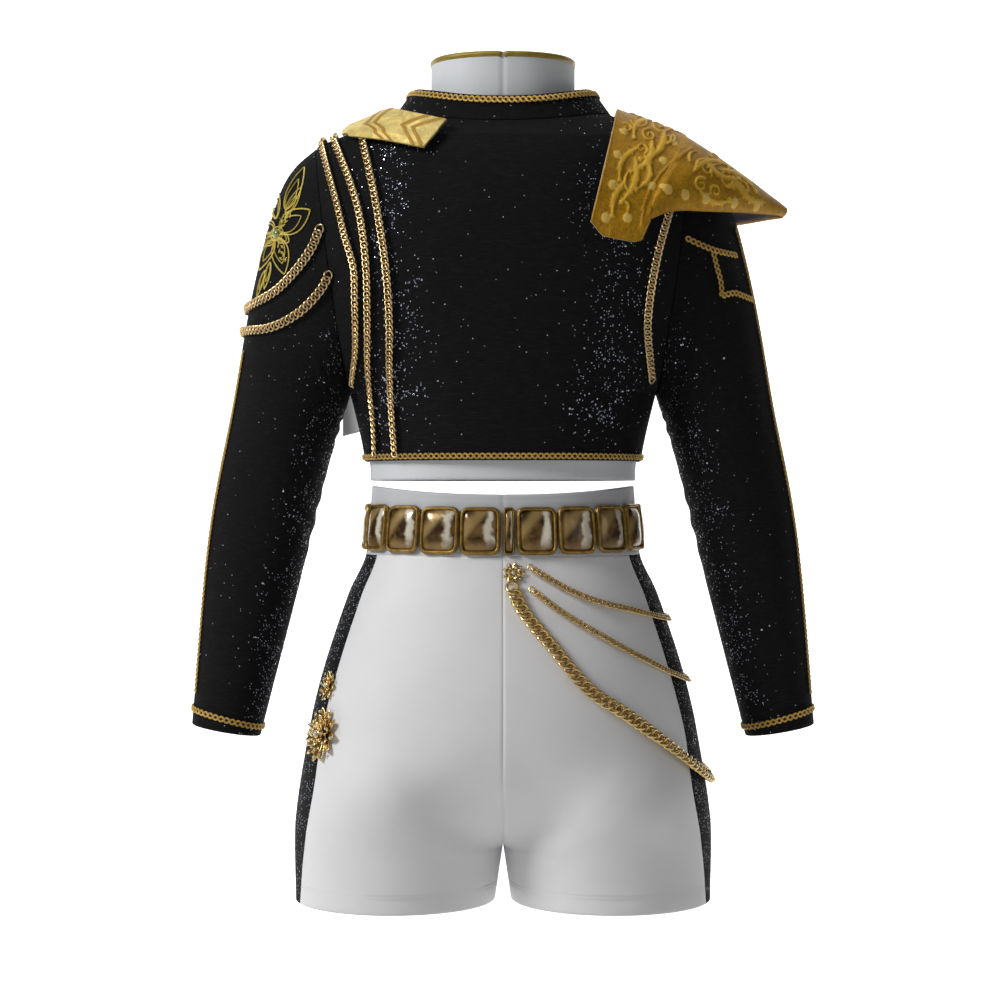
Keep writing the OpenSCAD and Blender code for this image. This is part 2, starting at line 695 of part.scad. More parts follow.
TAB_BAR = [[0, [158, 219]], [0.3, [170, 214]], [0.65, [186, 209]], [1, [206, 207]]];
TAB_DROP = [[0, [183, 208]], [0.3, [186, 196]], [0.6, [190, 182]], [1, [191, 170]]];
TAB_FOOT = [[0, [191, 170]], [0.4, [203, 173]], [0.7, [212, 171]], [1, [221, 169]]];

module tab_strand(route) {
    places = [for (s = steps(0, 1, 9)) sleeve_wt(track(route, s), false)];
    strand(
        [for (p = places) sleeve_pt(p[0], p[1]) + 0.6 * sleeve_n(p[0], p[1])],
        [for (p = places) sleeve_n(p[0], p[1])], braid_w, 1.5);
}

module sleeve_tab_braid() {
    color([0.75, 0.57, 0.22])
        union() {
            tab_strand(TAB_BAR);
            tab_strand(TAB_DROP);
            tab_strand(TAB_FOOT);
        }
}

// ---- Shorts ----
// u: 0 centre back or inseam, 0.5 side, 1 centre front. d: drop below the waist.
function shorts_pt(u, d) =
    let (a = track(SHORTS_W, d), bb = track(SHORTS_B, min(d, crotch_drop)))
    let (bf = track(SHORTS_F, min(d, crotch_drop)), t = 180 * u)
    let (q = clamp01((d - seat_drop) / (crotch_drop - seat_drop)))
    let (keep = mix(sqrt(1 - q * q), 1 - q * q * (3 - 2 * q), clamp01(5 * min(u, 1 - u))))
    let (open = leg_gap * clamp01((d - crotch_drop) / (hem_drop - crotch_drop)))
    let (bx = a * spow(sin(t), 2 / sec_n))
    let (by = (cos(t) > 0 ? -bb : bf) * pow(abs(cos(t)), 2 / sec_n))
    let (lx = (a + open) / 2 - (a - open) / 2 * cos(360 * u))
    let (ly = -track(u < 0.5 ? LEG_B : LEG_F, max(d, seat_drop)) * sin(360 * u))
    [mix(lx, bx, keep), mix(ly, by, keep) * (1 + fullness * keep * (1 - keep)), -d];
function shorts_n(u, d) =
    let (e = 0.004, right = shorts_pt(min(u + e, 1), d) - shorts_pt(max(u - e, 0), d))
    let (up = shorts_pt(u, d - 1) - shorts_pt(u, d + 1))
    unit(cross(right, up));
// Place round the half at which x is reached, between the middle (lo) and the side (hi)
function find_u(x, d, lo, hi, n = 14) =
    let (m = (lo + hi) / 2)
    n == 0 ? m
    : shorts_pt(m, d)[0] < x ? find_u(x, d, m, hi, n - 1) : find_u(x, d, lo, m, n - 1);

leg_rows = concat(
    [hem_drop, 350, 334, crotch_drop + 1], [for (q = [0.97, 0.9, 0.78, 0.62, 0.42, 0.2])
        mix(seat_drop, crotch_drop, q)], [190, 165, 140, 115, 90, 72, band_h + 0.6]);

// Place s of the way across a piece: 0 back, 1 side stripe, 2 front
function piece_u(piece, s, d) =
    let (edge = track(STRIPE_BACK, d))
    piece == 0 ? s * (edge - 0.002)
    : piece == 1 ? mix(edge, stripe_to, s) : mix(stripe_to + 0.002, 1, s);

module shorts_piece(piece, cols) {
    places = steps(0, 1, cols);
    outer = [for (d = leg_rows) [for (s = places) shorts_side(piece_u(piece, s, d), d, 0)]];
    inner = [for (d = leg_rows) [for (s = places) shorts_side(piece_u(piece, s, d), d, cloth)]];
    shell(outer, inner);
}
// Point of the right half, kept clear of the centre seam
function shorts_side(u, d, skin) =
    let (p = shorts_pt(u, d) - skin * shorts_n(u, d))
    [max(p[0], seam_gap), p[1], p[2]];

module shorts_back_right() {
    color([0.9, 0.9, 0.9])
        shorts_piece(0, 10);
}

module shorts_back_left() {
    mirror([1, 0, 0])
        shorts_back_right();
}

module shorts_front_right() {
    color([0.9, 0.9, 0.9])
        shorts_piece(2, 10);
}

module shorts_front_left() {
    mirror([1, 0, 0])
        shorts_front_right();
}

module side_stripe_right() {
    color([0.1, 0.1, 0.1])
        shorts_piece(1, 5);
}

module side_stripe_left() {
    mirror([1, 0, 0])
        side_stripe_right();
}

// Turned-up hem inside the leg
module leg_hem_right() {
    us = steps(0, 0.96, 24);
    drops = [hem_drop, hem_drop - 8, hem_drop - 16];
    outer = [for (d = drops) [for (u = us) shorts_pt(u, d) - (cloth + 1.4) * leg_out(u, d)]];
    inner = [for (d = drops) [for (u = us) shorts_pt(u, d) - (cloth + 2.6) * leg_out(u, d)]];
    color([0.9, 0.9, 0.9])
        shell(outer, inner, loop = true);
}
function leg_out(u, d) =
    let (e = 0.004, right = shorts_pt(u + e, d) - shorts_pt(u - e, d))
    unit(cross(right, [0, 0, 1]));

module leg_hem_left() {
    mirror([1, 0, 0])
        leg_hem_right();
}

// ---- Waistband and its cabochons ----
function waist_pt(t, d, skin = 0) =
    let (xy = neck_ring(track(SHORTS_W, d) - skin, track(SHORTS_B, d) - skin, track(SHORTS_F, d) - skin, t))
    [xy[0], xy[1], -d + (1 - clamp01(d / band_h)) * (3 - 8 * pow(cos(t), 2))];
band_turns = steps(0, 352, 44);

module band_ring(top, foot, skin, thick) {
    drops = [foot, mix(foot, top, 0.5), top];
    outer = [for (d = drops) [for (t = band_turns) waist_pt(t, d, skin)]];
    inner = [for (d = drops) [for (t = band_turns) waist_pt(t, d, skin + thick)]];
    shell(outer, inner, loop = true);
}

module waistband() {
    color([0.85, 0.85, 0.86])
        band_ring(0, band_h, 0, 2.2);
}

module waistband_elastic() {
    color([0.95, 0.95, 0.93])
        band_ring(6, band_h - 6, 2.7, 1.2);
}

gem_mid = 34;
function band_xy(t) = let (p = waist_pt(t, gem_mid)) [p[0], p[1]];
// Angle at which an arc of the given length ends, walked in steps of one degree
function walk(t, left) =
    let (d = norm(band_xy(t + 1) - band_xy(t)))
    left <= d ? t + left / d : walk(t + 1, left - d);
function girth(t = 0) = t >= 360 ? 0 : norm(band_xy(t + 1) - band_xy(t)) + girth(t + 1);
// Whole stones start left of the centre-back seam and run to the left, round the
// front, and end at the narrow stone just right of the seam
gem_start = 2;
gem_pitch = (girth() - gem_start - part_gem) / gem_count;
function gem_angle(i) = 360 - walk(0, gem_start + gem_pitch * (i + 0.5));
function gem_n(t) =
    let (d = band_xy(t + 0.5) - band_xy(t - 0.5))
    unit([d[1], -d[0], 0]);

module rounded(w, h, r) {
    square([w - 2 * r, h], center = true);
    square([w, h - 2 * r], center = true);
    for (x = [-1, 1])
        for (y = [-1, 1])
            translate([x * (w / 2 - r), y * (h / 2 - r)])
                circle(r = r);
}

// Stones lean with the band. The narrow stone is the one past the last whole one.
module at_gem(i) {
    t = i < gem_count ? gem_angle(i) : walk(0, part_gem / 2 - 0.5);
    n = gem_n(t);
    foot = waist_pt(t, gem_mid + gem_h / 2);
    head = waist_pt(t, gem_mid - gem_h / 2);
    lean = atan2((foot - head) * n, head[2] - foot[2]);
    translate((foot + head) / 2 + 0.6 * n)
        rotate([90 - lean, 0, atan2(n[1], n[0]) + 90])
            children();
}

function stone_w(i) = i < gem_count ? gem_w : part_gem - 2.5;

module gem_settings() {
    color([0.55, 0.42, 0.2])
        for (i = [0:gem_count])
            at_gem(i)
                difference() {
                    linear_extrude(height = 4.5)
                        rounded(stone_w(i), gem_h, 3.5);
                    translate([0, 0, 0.8])
                        linear_extrude(height = 5)
                            rounded(stone_w(i) - 4, gem_h - 4, 2);
                }
}

module waist_gems() {
    color([0.6, 0.5, 0.35])
        for (i = [0:gem_count])
            at_gem(i)
                translate([0, 0, 0.9])
                    linear_extrude(height = 4.8)
                        rounded(stone_w(i) - 4.6, gem_h - 4.6, 1.8);
}

// ---- Hip jewellery ----
module petal_plate(petals, ring_r, petal_r) {
    circle(r = ring_r);
    for (k = [0:petals - 1])
        rotate(360 * k / petals)
            translate([ring_r, 0])
                circle(r = petal_r);
}

module bloom(petals, ring_r, petal_r, high) {
    linear_extrude(height = 1.6)
        petal_plate(petals, ring_r, petal_r);
    translate([0, 0, 1.6])
        linear_extrude(height = high / 2 - 1.6)
            petal_plate(petals, ring_r * 0.55, petal_r * 0.6);
    translate([0, 0, high / 2])
        cylinder(h = high / 2, r = ring_r * 0.35);
}

module on_hip(u, d, lift) {
    n = shorts_n(u, d);
    translate(shorts_pt(u, d) + lift * n)
        facing(n)
            children();
}

module hip_brooch_upper() {
    color([0.8, 0.62, 0.28])
        mirror([1, 0, 0])
            on_hip(0.37, 172, 1.4)
                bloom(6, 9, 5, 6);
}

module hip_brooch_lower() {
    color([0.8, 0.62, 0.28])
        mirror([1, 0, 0])
            on_hip(0.352, 214, 2)
                bloom(8, 17, 8, 9);
}

rosette_u = find_u(rosette_x, rosette_drop, 0, 0.5);
rosette_front_u = find_u(rosette_x, rosette_drop, 1, 0.5);

module rosette_back() {
    color([0.75, 0.57, 0.25])
        on_hip(rosette_u, rosette_drop, 0.8)
            bloom(6, 6, 3.4, 5);
}

module rosette_front() {
    color([0.75, 0.57, 0.25])
        on_hip(rosette_front_u, rosette_drop, 0.8)
            bloom(6, 6, 3.4, 5);
}

// Chains over the right hip, as [place, [x, drop]] from the rosette to the side
HIP_UPPER = [[0, [24, 68]], [0.25, [52, 85]], [0.5, [80, 97]], [0.8, [117, 107]], [1, [145, 115]]];
HIP_MIDDLE = [[0, [20, 86]], [0.25, [52, 107]], [0.5, [92, 131]], [0.8, [133, 154]], [1, [164, 170]]];
HIP_HEAVY = [
    [0, [8, 86]], [0.15, [17, 105]], [0.35, [42, 136]], [0.5, [72, 171]], [0.65, [105, 194]],
    [0.82, [145, 226]], [1, [180, 256]]
];

// Swag from the back rosette round the right side to the front one
module hip_swag(route, w, h, lift) {
    n = 18;
    steps_out = eased(n);
    back = [for (i = [0:n - 1]) let (p = track(route, steps_out[i])) [find_u(p[0], p[1], 0, 0.5), p[1]]];
    front = [for (i = [n - 1:-1:0]) let (p = track(route, steps_out[i])) [find_u(p[0], p[1], 1, 0.5), p[1]]];
    places = concat(back, [[0.5, track(route, 1)[1]]], front);
    strand(
        [for (p = places) shorts_pt(p[0], p[1]) + lift * shorts_n(p[0], p[1])],
        [for (p = places) shorts_n(p[0], p[1])], w, h);
}

module hip_chain_upper() {
    color([0.8, 0.63, 0.3])
        hip_swag(HIP_UPPER, thin_w, 2.6, 1.2);
}

module hip_chain_middle() {
    color([0.8, 0.63, 0.3])
        hip_swag(HIP_MIDDLE, thin_w, 2.6, 1.2);
}

module hip_chain_heavy() {
    color([0.8, 0.63, 0.3])
        hip_swag(HIP_HEAVY, heavy_w, 5, 1.9);
}

back_panel();
front_panel_left();
front_panel_right();
stand_collar();
collar_braid();
hem_braid();
under_top_back();
under_top_front();
inner_collar();
collar_binding();
neck_zip_tapes();
zip_slider();
zip_pull();
shoulder_chain_outer();
shoulder_chain_middle();
shoulder_chain_inner();
armhole_chain();
epaulette_cover();
epaulette_lining();
epaulette_chevrons();
cape_cover();
cape_core();
cape_lining();
cape_studs();
drape_cover();
drape_lining();
sleeve_left();
sleeve_right();
cuff_braid_left();
cuff_braid_right();
seam_braid_left();
seam_braid_right();
sleeve_chain_upper();
sleeve_chain_lower();
flower_embroidery();
flower_stone();
sleeve_tab_braid();
waistband();
waistband_elastic();
gem_settings();
waist_gems();
shorts_back_left();
shorts_back_right();
shorts_front_left();
shorts_front_right();
side_stripe_left();
side_stripe_right();
leg_hem_left();
leg_hem_right();
hip_brooch_upper();
hip_brooch_lower();
rosette_back();
rosette_front();
hip_chain_upper();
hip_chain_middle();
hip_chain_heavy();
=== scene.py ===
"""Looks of the two-piece cheer uniform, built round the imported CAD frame.

Lengths are written in millimetres, like the CAD source, and turned into metres
when a mesh is made. +Z is up, the wearer's back faces -Y, their right is +X.
"""

import itertools
import math
import random

import bpy
import numpy as np
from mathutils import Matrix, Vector


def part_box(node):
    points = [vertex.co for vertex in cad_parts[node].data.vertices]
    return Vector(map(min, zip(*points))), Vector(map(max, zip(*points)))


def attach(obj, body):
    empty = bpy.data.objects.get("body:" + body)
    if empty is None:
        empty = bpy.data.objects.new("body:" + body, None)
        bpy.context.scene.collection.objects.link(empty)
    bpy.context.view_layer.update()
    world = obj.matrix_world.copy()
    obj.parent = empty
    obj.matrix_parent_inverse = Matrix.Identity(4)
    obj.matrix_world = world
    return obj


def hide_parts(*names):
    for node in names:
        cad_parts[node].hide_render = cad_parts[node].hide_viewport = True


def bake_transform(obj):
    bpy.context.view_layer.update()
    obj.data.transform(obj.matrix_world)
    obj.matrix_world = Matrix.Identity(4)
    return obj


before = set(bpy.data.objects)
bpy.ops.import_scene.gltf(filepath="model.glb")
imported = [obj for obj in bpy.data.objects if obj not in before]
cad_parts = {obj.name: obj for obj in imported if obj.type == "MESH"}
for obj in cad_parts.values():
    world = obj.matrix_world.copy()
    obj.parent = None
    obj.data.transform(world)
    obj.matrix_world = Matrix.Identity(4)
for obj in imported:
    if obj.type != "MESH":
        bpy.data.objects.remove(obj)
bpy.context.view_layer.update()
MM = 0.001
rng = random.Random(11)

# ---- Camera: level, behind the garment, 0.9 m across at the body's middle ----
VIEW_WIDTH = 0.9
VIEW_DISTANCE = 2.1
camera = bpy.data.objects.new("camera", bpy.data.cameras.new("camera"))
camera.data.sensor_width = 36
camera.data.lens = 36 * VIEW_DISTANCE / VIEW_WIDTH
camera.location = (-0.0027, -VIEW_DISTANCE, -0.009)
camera.rotation_euler = (math.pi / 2, 0, 0)
bpy.context.scene.collection.objects.link(camera)
bpy.context.scene.camera = camera

# ---- Driving dimensions, as in the CAD source ----
HEM_W, HEM_Z = 124, 26
ARMPIT_W, ARMPIT_Z = 137, 85
SHOULDER_W, SHOULDER_Z = 167, 306
ARMHOLE_D = 72
NECK_W, NECK_Z, NECK_B, NECK_F = 97, 335, 80, 74
COLLAR_W, COLLAR_Z, COLLAR_B, COLLAR_F = 81.5, 357, 73, 70
INNER_W, INNER_B, INNER_Z, INNER_FOOT = 64.5, 58, 383, 345
UNDER_Z, UNDER_GAP, UNDER_CLOTH = 9, 4.5, 1.5
CLOTH = 1.8
SEC_N = 2.2
CUFF_FORWARD = 18
BACK = [(26, 88), (85, 96), (140, 104), (200, 110), (250, 109), (285, 102), (306, 94)]
FRONT = [(26, 86), (85, 100), (140, 112), (200, 118), (250, 110), (285, 97), (306, 86)]
SLEEVE_OUT = [
    (0, (167, 306)), (0.09, (185, 291)), (0.18, (197, 274)), (0.27, (206, 250)), (0.36, (214, 225)),
    (0.5, (228, 165)), (0.64, (243, 81)), (0.82, (266, -40)), (1, (282, -211)),
]
SLEEVE_IN = [(0, (137, 85)), (0.27, (147, 57)), (0.5, (161, 8)), (0.75, (185, -88)), (1, (220, -222))]
SLEEVE_DEPTH = [(0, 72), (0.15, 68), (0.35, 60), (0.55, 54), (0.8, 43), (1, 31)]
BAND_H, SEAT_DROP, CROTCH_DROP, HEM_DROP = 57, 205, 318, 366
LEG_GAP, SEAM_GAP = 7, 0.4
STRIPE_TO = 0.535
STRIPE_BACK = [(57, 0.35), (125, 0.35), (230, 0.37), (300, 0.41), (366, 0.44)]
FULLNESS = 0.48
SHORTS_W = [
    (0, 117.5), (57, 123), (92, 138), (142, 155.5), (193, 169.5), (243, 178.5), (293, 186),
    (319, 187), (366, 186),
]
SHORTS_B = [(0, 92), (57, 99), (110, 114), (160, 126), (210, 130), (250, 125), (285, 114), (318, 104)]
SHORTS_F = [(0, 88), (57, 92), (110, 98), (160, 100), (210, 98), (260, 96), (318, 94)]
LEG_B = [(205, 128), (260, 118), (300, 108), (340, 99), (366, 96)]
LEG_F = [(205, 100), (260, 98), (300, 96), (340, 92), (366, 90)]


# ---- Small helpers ----
def mix(a, b, t):
    return a + (b - a) * t


def clamp01(t):
    return np.clip(t, 0, 1)


def smooth(t):
    t = clamp01(t)
    return t * t * (3 - 2 * t)


def unit(v):
    return v / np.maximum(np.linalg.norm(v, axis=-1, keepdims=True), 1e-9)


def spow(v, p):
    return np.sign(v) * np.abs(v) ** p


def sin(degrees):
    return np.sin(np.radians(degrees))


def cos(degrees):
    return np.cos(np.radians(degrees))


def track(table, k):
    """Smooth curve through (key, value) rows, as in the CAD source."""
    keys = np.array([row[0] for row in table], float)
    values = np.array([row[1] for row in table], float)
    low = np.maximum(np.arange(len(keys)) - 1, 0)
    high = np.minimum(np.arange(len(keys)) + 1, len(keys) - 1)
    run = (keys[high] - keys[low]).reshape([-1] + [1] * (values.ndim - 1))
    slope = (values[high] - values[low]) / run
    k = np.asarray(k, float)
    i = np.clip(np.searchsorted(keys, k) - 1, 0, len(keys) - 2)
    d = keys[i + 1] - keys[i]
    t = clamp01((k - keys[i]) / d)
    if values.ndim > 1:
        d, t = d[..., None], t[..., None]
    t2, t3 = t * t, t * t * t
    return (
        (2 * t3 - 3 * t2 + 1) * values[i] + (t3 - 2 * t2 + t) * d * slope[i]
        + (3 * t2 - 2 * t3) * values[i + 1] + (t3 - t2) * d * slope[i + 1]
    )


def xyz(x, y, z):
    return np.stack(np.broadcast_arrays(x, y, z), axis=-1).astype(float)


def flip_x(p):
    return p * np.array([-1.0, 1.0, 1.0])


def sided(side, *places):
    """The arrays as they are on the right, and mirrored on the left."""
    return places if side == "right" else tuple(flip_x(p) for p in places)


def mirror_grids(*grids):
    """Grids mirrored to the left, with their columns turned round so that faces still look out."""
    return tuple(flip_x(grid)[:, ::-1] for grid in grids)


def closed_grid(grid):
    """A ring-shaped grid with its first column again at the end, to measure it all the way round."""
    return np.concatenate([grid, grid[:, :1]], axis=1)


def wobble(p, size, seed=0.0):
    """Gentle made-up unevenness of cloth, between -1 and 1, at places p in mm."""
    q = p / size
    a = np.sin(q[..., 0] * 1.7 + 2.1 * np.sin(q[..., 2] * 0.9 + seed) + seed)
    b = np.sin(q[..., 2] * 1.3 + 1.7 * np.sin(q[..., 1] * 1.1 - seed) + 2.3 * seed)
    c = np.sin((q[..., 0] + q[..., 2]) * 2.3 + 1.3 * np.sin(q[..., 1] * 1.9 + seed))
    return (a * b + 0.5 * c) / 1.5


# ---- Jacket body surface ----
def arm_x(z):
    return mix(ARMPIT_W, SHOULDER_W, (z - ARMPIT_Z) / (SHOULDER_Z - ARMPIT_Z))


ARM_CZ, ARM_HZ = (ARMPIT_Z + SHOULDER_Z) / 2, (SHOULDER_Z - ARMPIT_Z) / 2


def edge_y(z):
    return ARMHOLE_D * np.sqrt(np.maximum(1 - ((z - ARM_CZ) / ARM_HZ) ** 2, 0))


def depth(z, front):
    return np.where(front, track(FRONT, z), track(BACK, z))


def half_w(z, front):
    low = mix(HEM_W, ARMPIT_W, clamp01((z - HEM_Z) / (ARMPIT_Z - HEM_Z)) ** 1.2)
    zz = np.clip(z, ARMPIT_Z, SHOULDER_Z)
    high = arm_x(zz) / (1 - (edge_y(zz) / depth(zz, front)) ** SEC_N) ** (1 / SEC_N)
    return np.where(z <= ARMPIT_Z, low, high)


def jacket(g, v):
    """g: 0 centre back, 1 side, 2 centre front; v: 0 hem, 1 armpit, 2 shoulder tip, 3 neck."""
    g, v = np.broadcast_arrays(np.asarray(g, float), np.asarray(v, float))
    front = g > 1
    q = np.where(front, 2 - g, g)
    s = np.maximum(v - 2, 0)
    z = np.where(v <= 1, mix(HEM_Z, ARMPIT_Z, v), ARM_CZ - ARM_HZ * cos(180 * (np.clip(v, 1, 2) - 1)))
    a0 = half_w(z, front)
    a = mix(a0, NECK_W, s)
    b = mix(depth(z, front), np.where(front, NECK_F, NECK_B), s)
    inside = (z > ARMPIT_Z) & (z < SHOULDER_Z)
    edge = np.degrees(np.arcsin(np.clip(arm_x(z) / a0, 0, 1) ** (SEC_N / 2)))
    t = q * np.where(inside, edge, 90)
    neck_line = NECK_Z - np.where(front, 23, 15) * cos(t) ** 2
    y = np.where(front, 1, -1) * b * np.abs(cos(t)) ** (2 / SEC_N)
    return xyz(a * spow(sin(t), 2 / SEC_N), y, mix(z, neck_line, s))


def jacket_n(g, v):
    g, v = np.broadcast_arrays(np.asarray(g, float), np.asarray(v, float))
    e = 0.02
    low = np.where(g > 1, 1.0001, -1)
    high = np.where(g > 1, 2, 1)
    right = jacket(np.minimum(g + e, high), v) - jacket(np.maximum(g - e, low), v)
    up = jacket(g, np.minimum(v + e, 3)) - jacket(g, np.maximum(v - e, 0))
    return unit(np.cross(right, up))


def rise(z):
    return clamp01((z - SHOULDER_Z) / (NECK_Z - SHOULDER_Z))


def wide_at(z, front):
    return mix(half_w(np.minimum(z, SHOULDER_Z), front), NECK_W, rise(z))


def deep_at(z, front):
    return mix(depth(np.minimum(z, SHOULDER_Z), front), np.where(front, NECK_F, NECK_B), rise(z))


def on_jacket(x, z, front):
    a, b = wide_at(z, front), deep_at(z, front)
    y = b * np.maximum(1 - np.minimum(np.abs(x) / a, 1) ** SEC_N, 0) ** (1 / SEC_N)
    return xyz(x, np.where(front, y, -y), z)


def jacket_f(p):
    front = p[..., 1] > 0
    return (
        (np.abs(p[..., 0]) / wide_at(p[..., 2], front)) ** SEC_N
        + (np.abs(p[..., 1]) / deep_at(p[..., 2], front)) ** SEC_N
    )


def jacket_grad(p):
    e = 0.5 * np.eye(3)
    return unit(np.stack([jacket_f(p + e[i]) - jacket_f(p - e[i]) for i in range(3)], axis=-1))


# ---- Necks ----
def neck_ring(a, bb, bf, t):
    return a * spow(sin(t), 2 / SEC_N), np.where(cos(t) > 0, -bb, bf) * np.abs(cos(t)) ** (2 / SEC_N)


def collar_pt(t, s):
    front = cos(t) < 0
    dip = np.where(front, 19, 15) * cos(t) ** 2
    x, y = neck_ring(
        mix(NECK_W, COLLAR_W, s), mix(NECK_B, COLLAR_B, s), mix(NECK_F, COLLAR_F, s), t
    )
    foot = NECK_Z - np.where(front, 23, 15) * cos(t) ** 2 + 0.6
    return xyz(x, y, mix(foot, COLLAR_Z - dip, s))


def inner_pt(t, z, skin=0.0):
    x, y = neck_ring(INNER_W - skin, INNER_B - skin, INNER_B - skin, t)
    return xyz(x, y, z)


def flat_out(t):
    return xyz(sin(t), -cos(t), 0)


# ---- Sleeve surface (right side) ----
def sleeve_pt(w, t):
    """w: 0 inner side, 90 back, 180 outer side, 270 front; t: 0 armhole, 1 cuff."""
    w, t = np.broadcast_arrays(np.asarray(w, float), np.asarray(t, float))
    o, i = track(SLEEVE_OUT, t), track(SLEEVE_IN, t)
    c, h = (o + i) / 2, (o - i) / 2
    clear = 0.8 * (1 - clamp01(t * 8))
    y = CUFF_FORWARD * t * t - track(SLEEVE_DEPTH, t) * sin(w)
    return xyz(c[..., 0] - h[..., 0] * cos(w) + clear, y, c[..., 1] - h[..., 1] * cos(w))


def sleeve_n(w, t):
    right = sleeve_pt(w + 2, t) - sleeve_pt(w - 2, t)
    up = sleeve_pt(w, np.maximum(t - 0.01, 0)) - sleeve_pt(w, np.minimum(t + 0.01, 1))
    return unit(np.cross(right, up))


def sleeve_wt(p, front):
    """Sleeve place under each [x, z], found by halving."""
    low, high = np.zeros(len(p)), np.ones(len(p))
    for _ in range(16):
        t = (low + high) / 2
        o, i = track(SLEEVE_OUT, t), track(SLEEVE_IN, t)
        above = (o - i)[:, 0] * (p - i)[:, 1] - (o - i)[:, 1] * (p - i)[:, 0] > 0
        low, high = np.where(above, low, t), np.where(above, t, high)
    o, i = track(SLEEVE_OUT, t), track(SLEEVE_IN, t)
    f = clamp01(((p - i) * (o - i)).sum(1) / ((o - i) ** 2).sum(1))
    w = np.degrees(np.arccos(1 - 2 * f))
    return (360 - w if front else w), t


# ---- Shorts surface (right half) ----
def shorts_pt(u, d):
    """u: 0 centre back or inseam, 0.5 side, 1 centre front; d: drop below the waist."""
    u, d = np.broadcast_arrays(np.asarray(u, float), np.asarray(d, float))
    a, t = track(SHORTS_W, d), 180 * u
    bb, bf = track(SHORTS_B, np.minimum(d, CROTCH_DROP)), track(SHORTS_F, np.minimum(d, CROTCH_DROP))
    q = clamp01((d - SEAT_DROP) / (CROTCH_DROP - SEAT_DROP))
    keep = mix(np.sqrt(1 - q * q), 1 - q * q * (3 - 2 * q), clamp01(5 * np.minimum(u, 1 - u)))
    open_ = LEG_GAP * clamp01((d - CROTCH_DROP) / (HEM_DROP - CROTCH_DROP))
    bx = a * spow(sin(t), 2 / SEC_N)
    by = np.where(cos(t) > 0, -bb, bf) * np.abs(cos(t)) ** (2 / SEC_N)
    lx = (a + open_) / 2 - (a - open_) / 2 * cos(360 * u)
    dd = np.maximum(d, SEAT_DROP)
    ly = -np.where(u < 0.5, track(LEG_B, dd), track(LEG_F, dd)) * sin(360 * u)
    full = 1 + FULLNESS * keep * (1 - keep)
    return xyz(mix(lx, bx, keep), mix(ly, by, keep) * full, -d)


def shorts_n(u, d):
    e = 0.004
    right = shorts_pt(np.minimum(u + e, 1), d) - shorts_pt(np.maximum(u - e, 0), d)
    up = shorts_pt(u, d - 1.0) - shorts_pt(u, d + 1.0)
    return unit(np.cross(right, up))


def find_u(x, d, low, high):
    low, high = np.full(len(x), float(low)), np.full(len(x), float(high))
    for _ in range(16):
        m = (low + high) / 2
        short = shorts_pt(m, d)[:, 0] < x
        low, high = np.where(short, m, low), np.where(short, high, m)
    return (low + high) / 2


# ---- Waistband surface: t is 0 at centre back and 90 at the right side ----
def waist_pt(t, d):
    x, y = neck_ring(track(SHORTS_W, d), track(SHORTS_B, d), track(SHORTS_F, d), t)
    return xyz(x, y, -d + (1 - clamp01(d / BAND_H)) * (3 - 8 * cos(t) ** 2))


# ---- Cape surface ----
CAPE_RIDGE = [
    (0, (101, 0, 337)), (0.25, (148, 0, 320)), (0.5, (181, 0, 301)), (0.75, (220, 0, 274)), (1, (253, 0, 250)),
]
CAPE_LOW = [
    (0, (74, -124, 227)), (0.1, (83, -121.5, 216.5)), (0.13, (86, -120.8, 215)), (0.27, (110.5, -116, 211)),
    (0.3, (113.5, -115.5, 212)), (0.33, (116, -114, 217)), (0.38, (119.5, -112.5, 228)), (0.41, (123, -111, 231)),
    (0.5, (142, -102, 239)), (0.7, (175, -78, 243)), (0.85, (212, -46, 246)), (1, (250, -6, 249)),
]


def cape_pt(r, q):
    """r: 0 neck side, 1 tip; q: -1 front edge, 0 ridge, 1 back edge."""
    r, q = np.broadcast_arrays(np.asarray(r, float), np.asarray(q, float))
    top, low, a = track(CAPE_RIDGE, r), track(CAPE_LOW, r), 90 * np.abs(q)
    return xyz(
        mix(top[..., 0], low[..., 0], 1 - cos(a)),
        np.sign(q) * low[..., 1] * sin(a),
        mix(top[..., 2], low[..., 2], 1 - cos(a)),
    )


def cape_n(r, q):
    across = cape_pt(np.minimum(r + 0.01, 1), q) - cape_pt(np.maximum(r - 0.01, 0), q)
    round_ = cape_pt(r, q - 0.01) - cape_pt(r, q + 0.01)
    return unit(np.cross(across, round_))


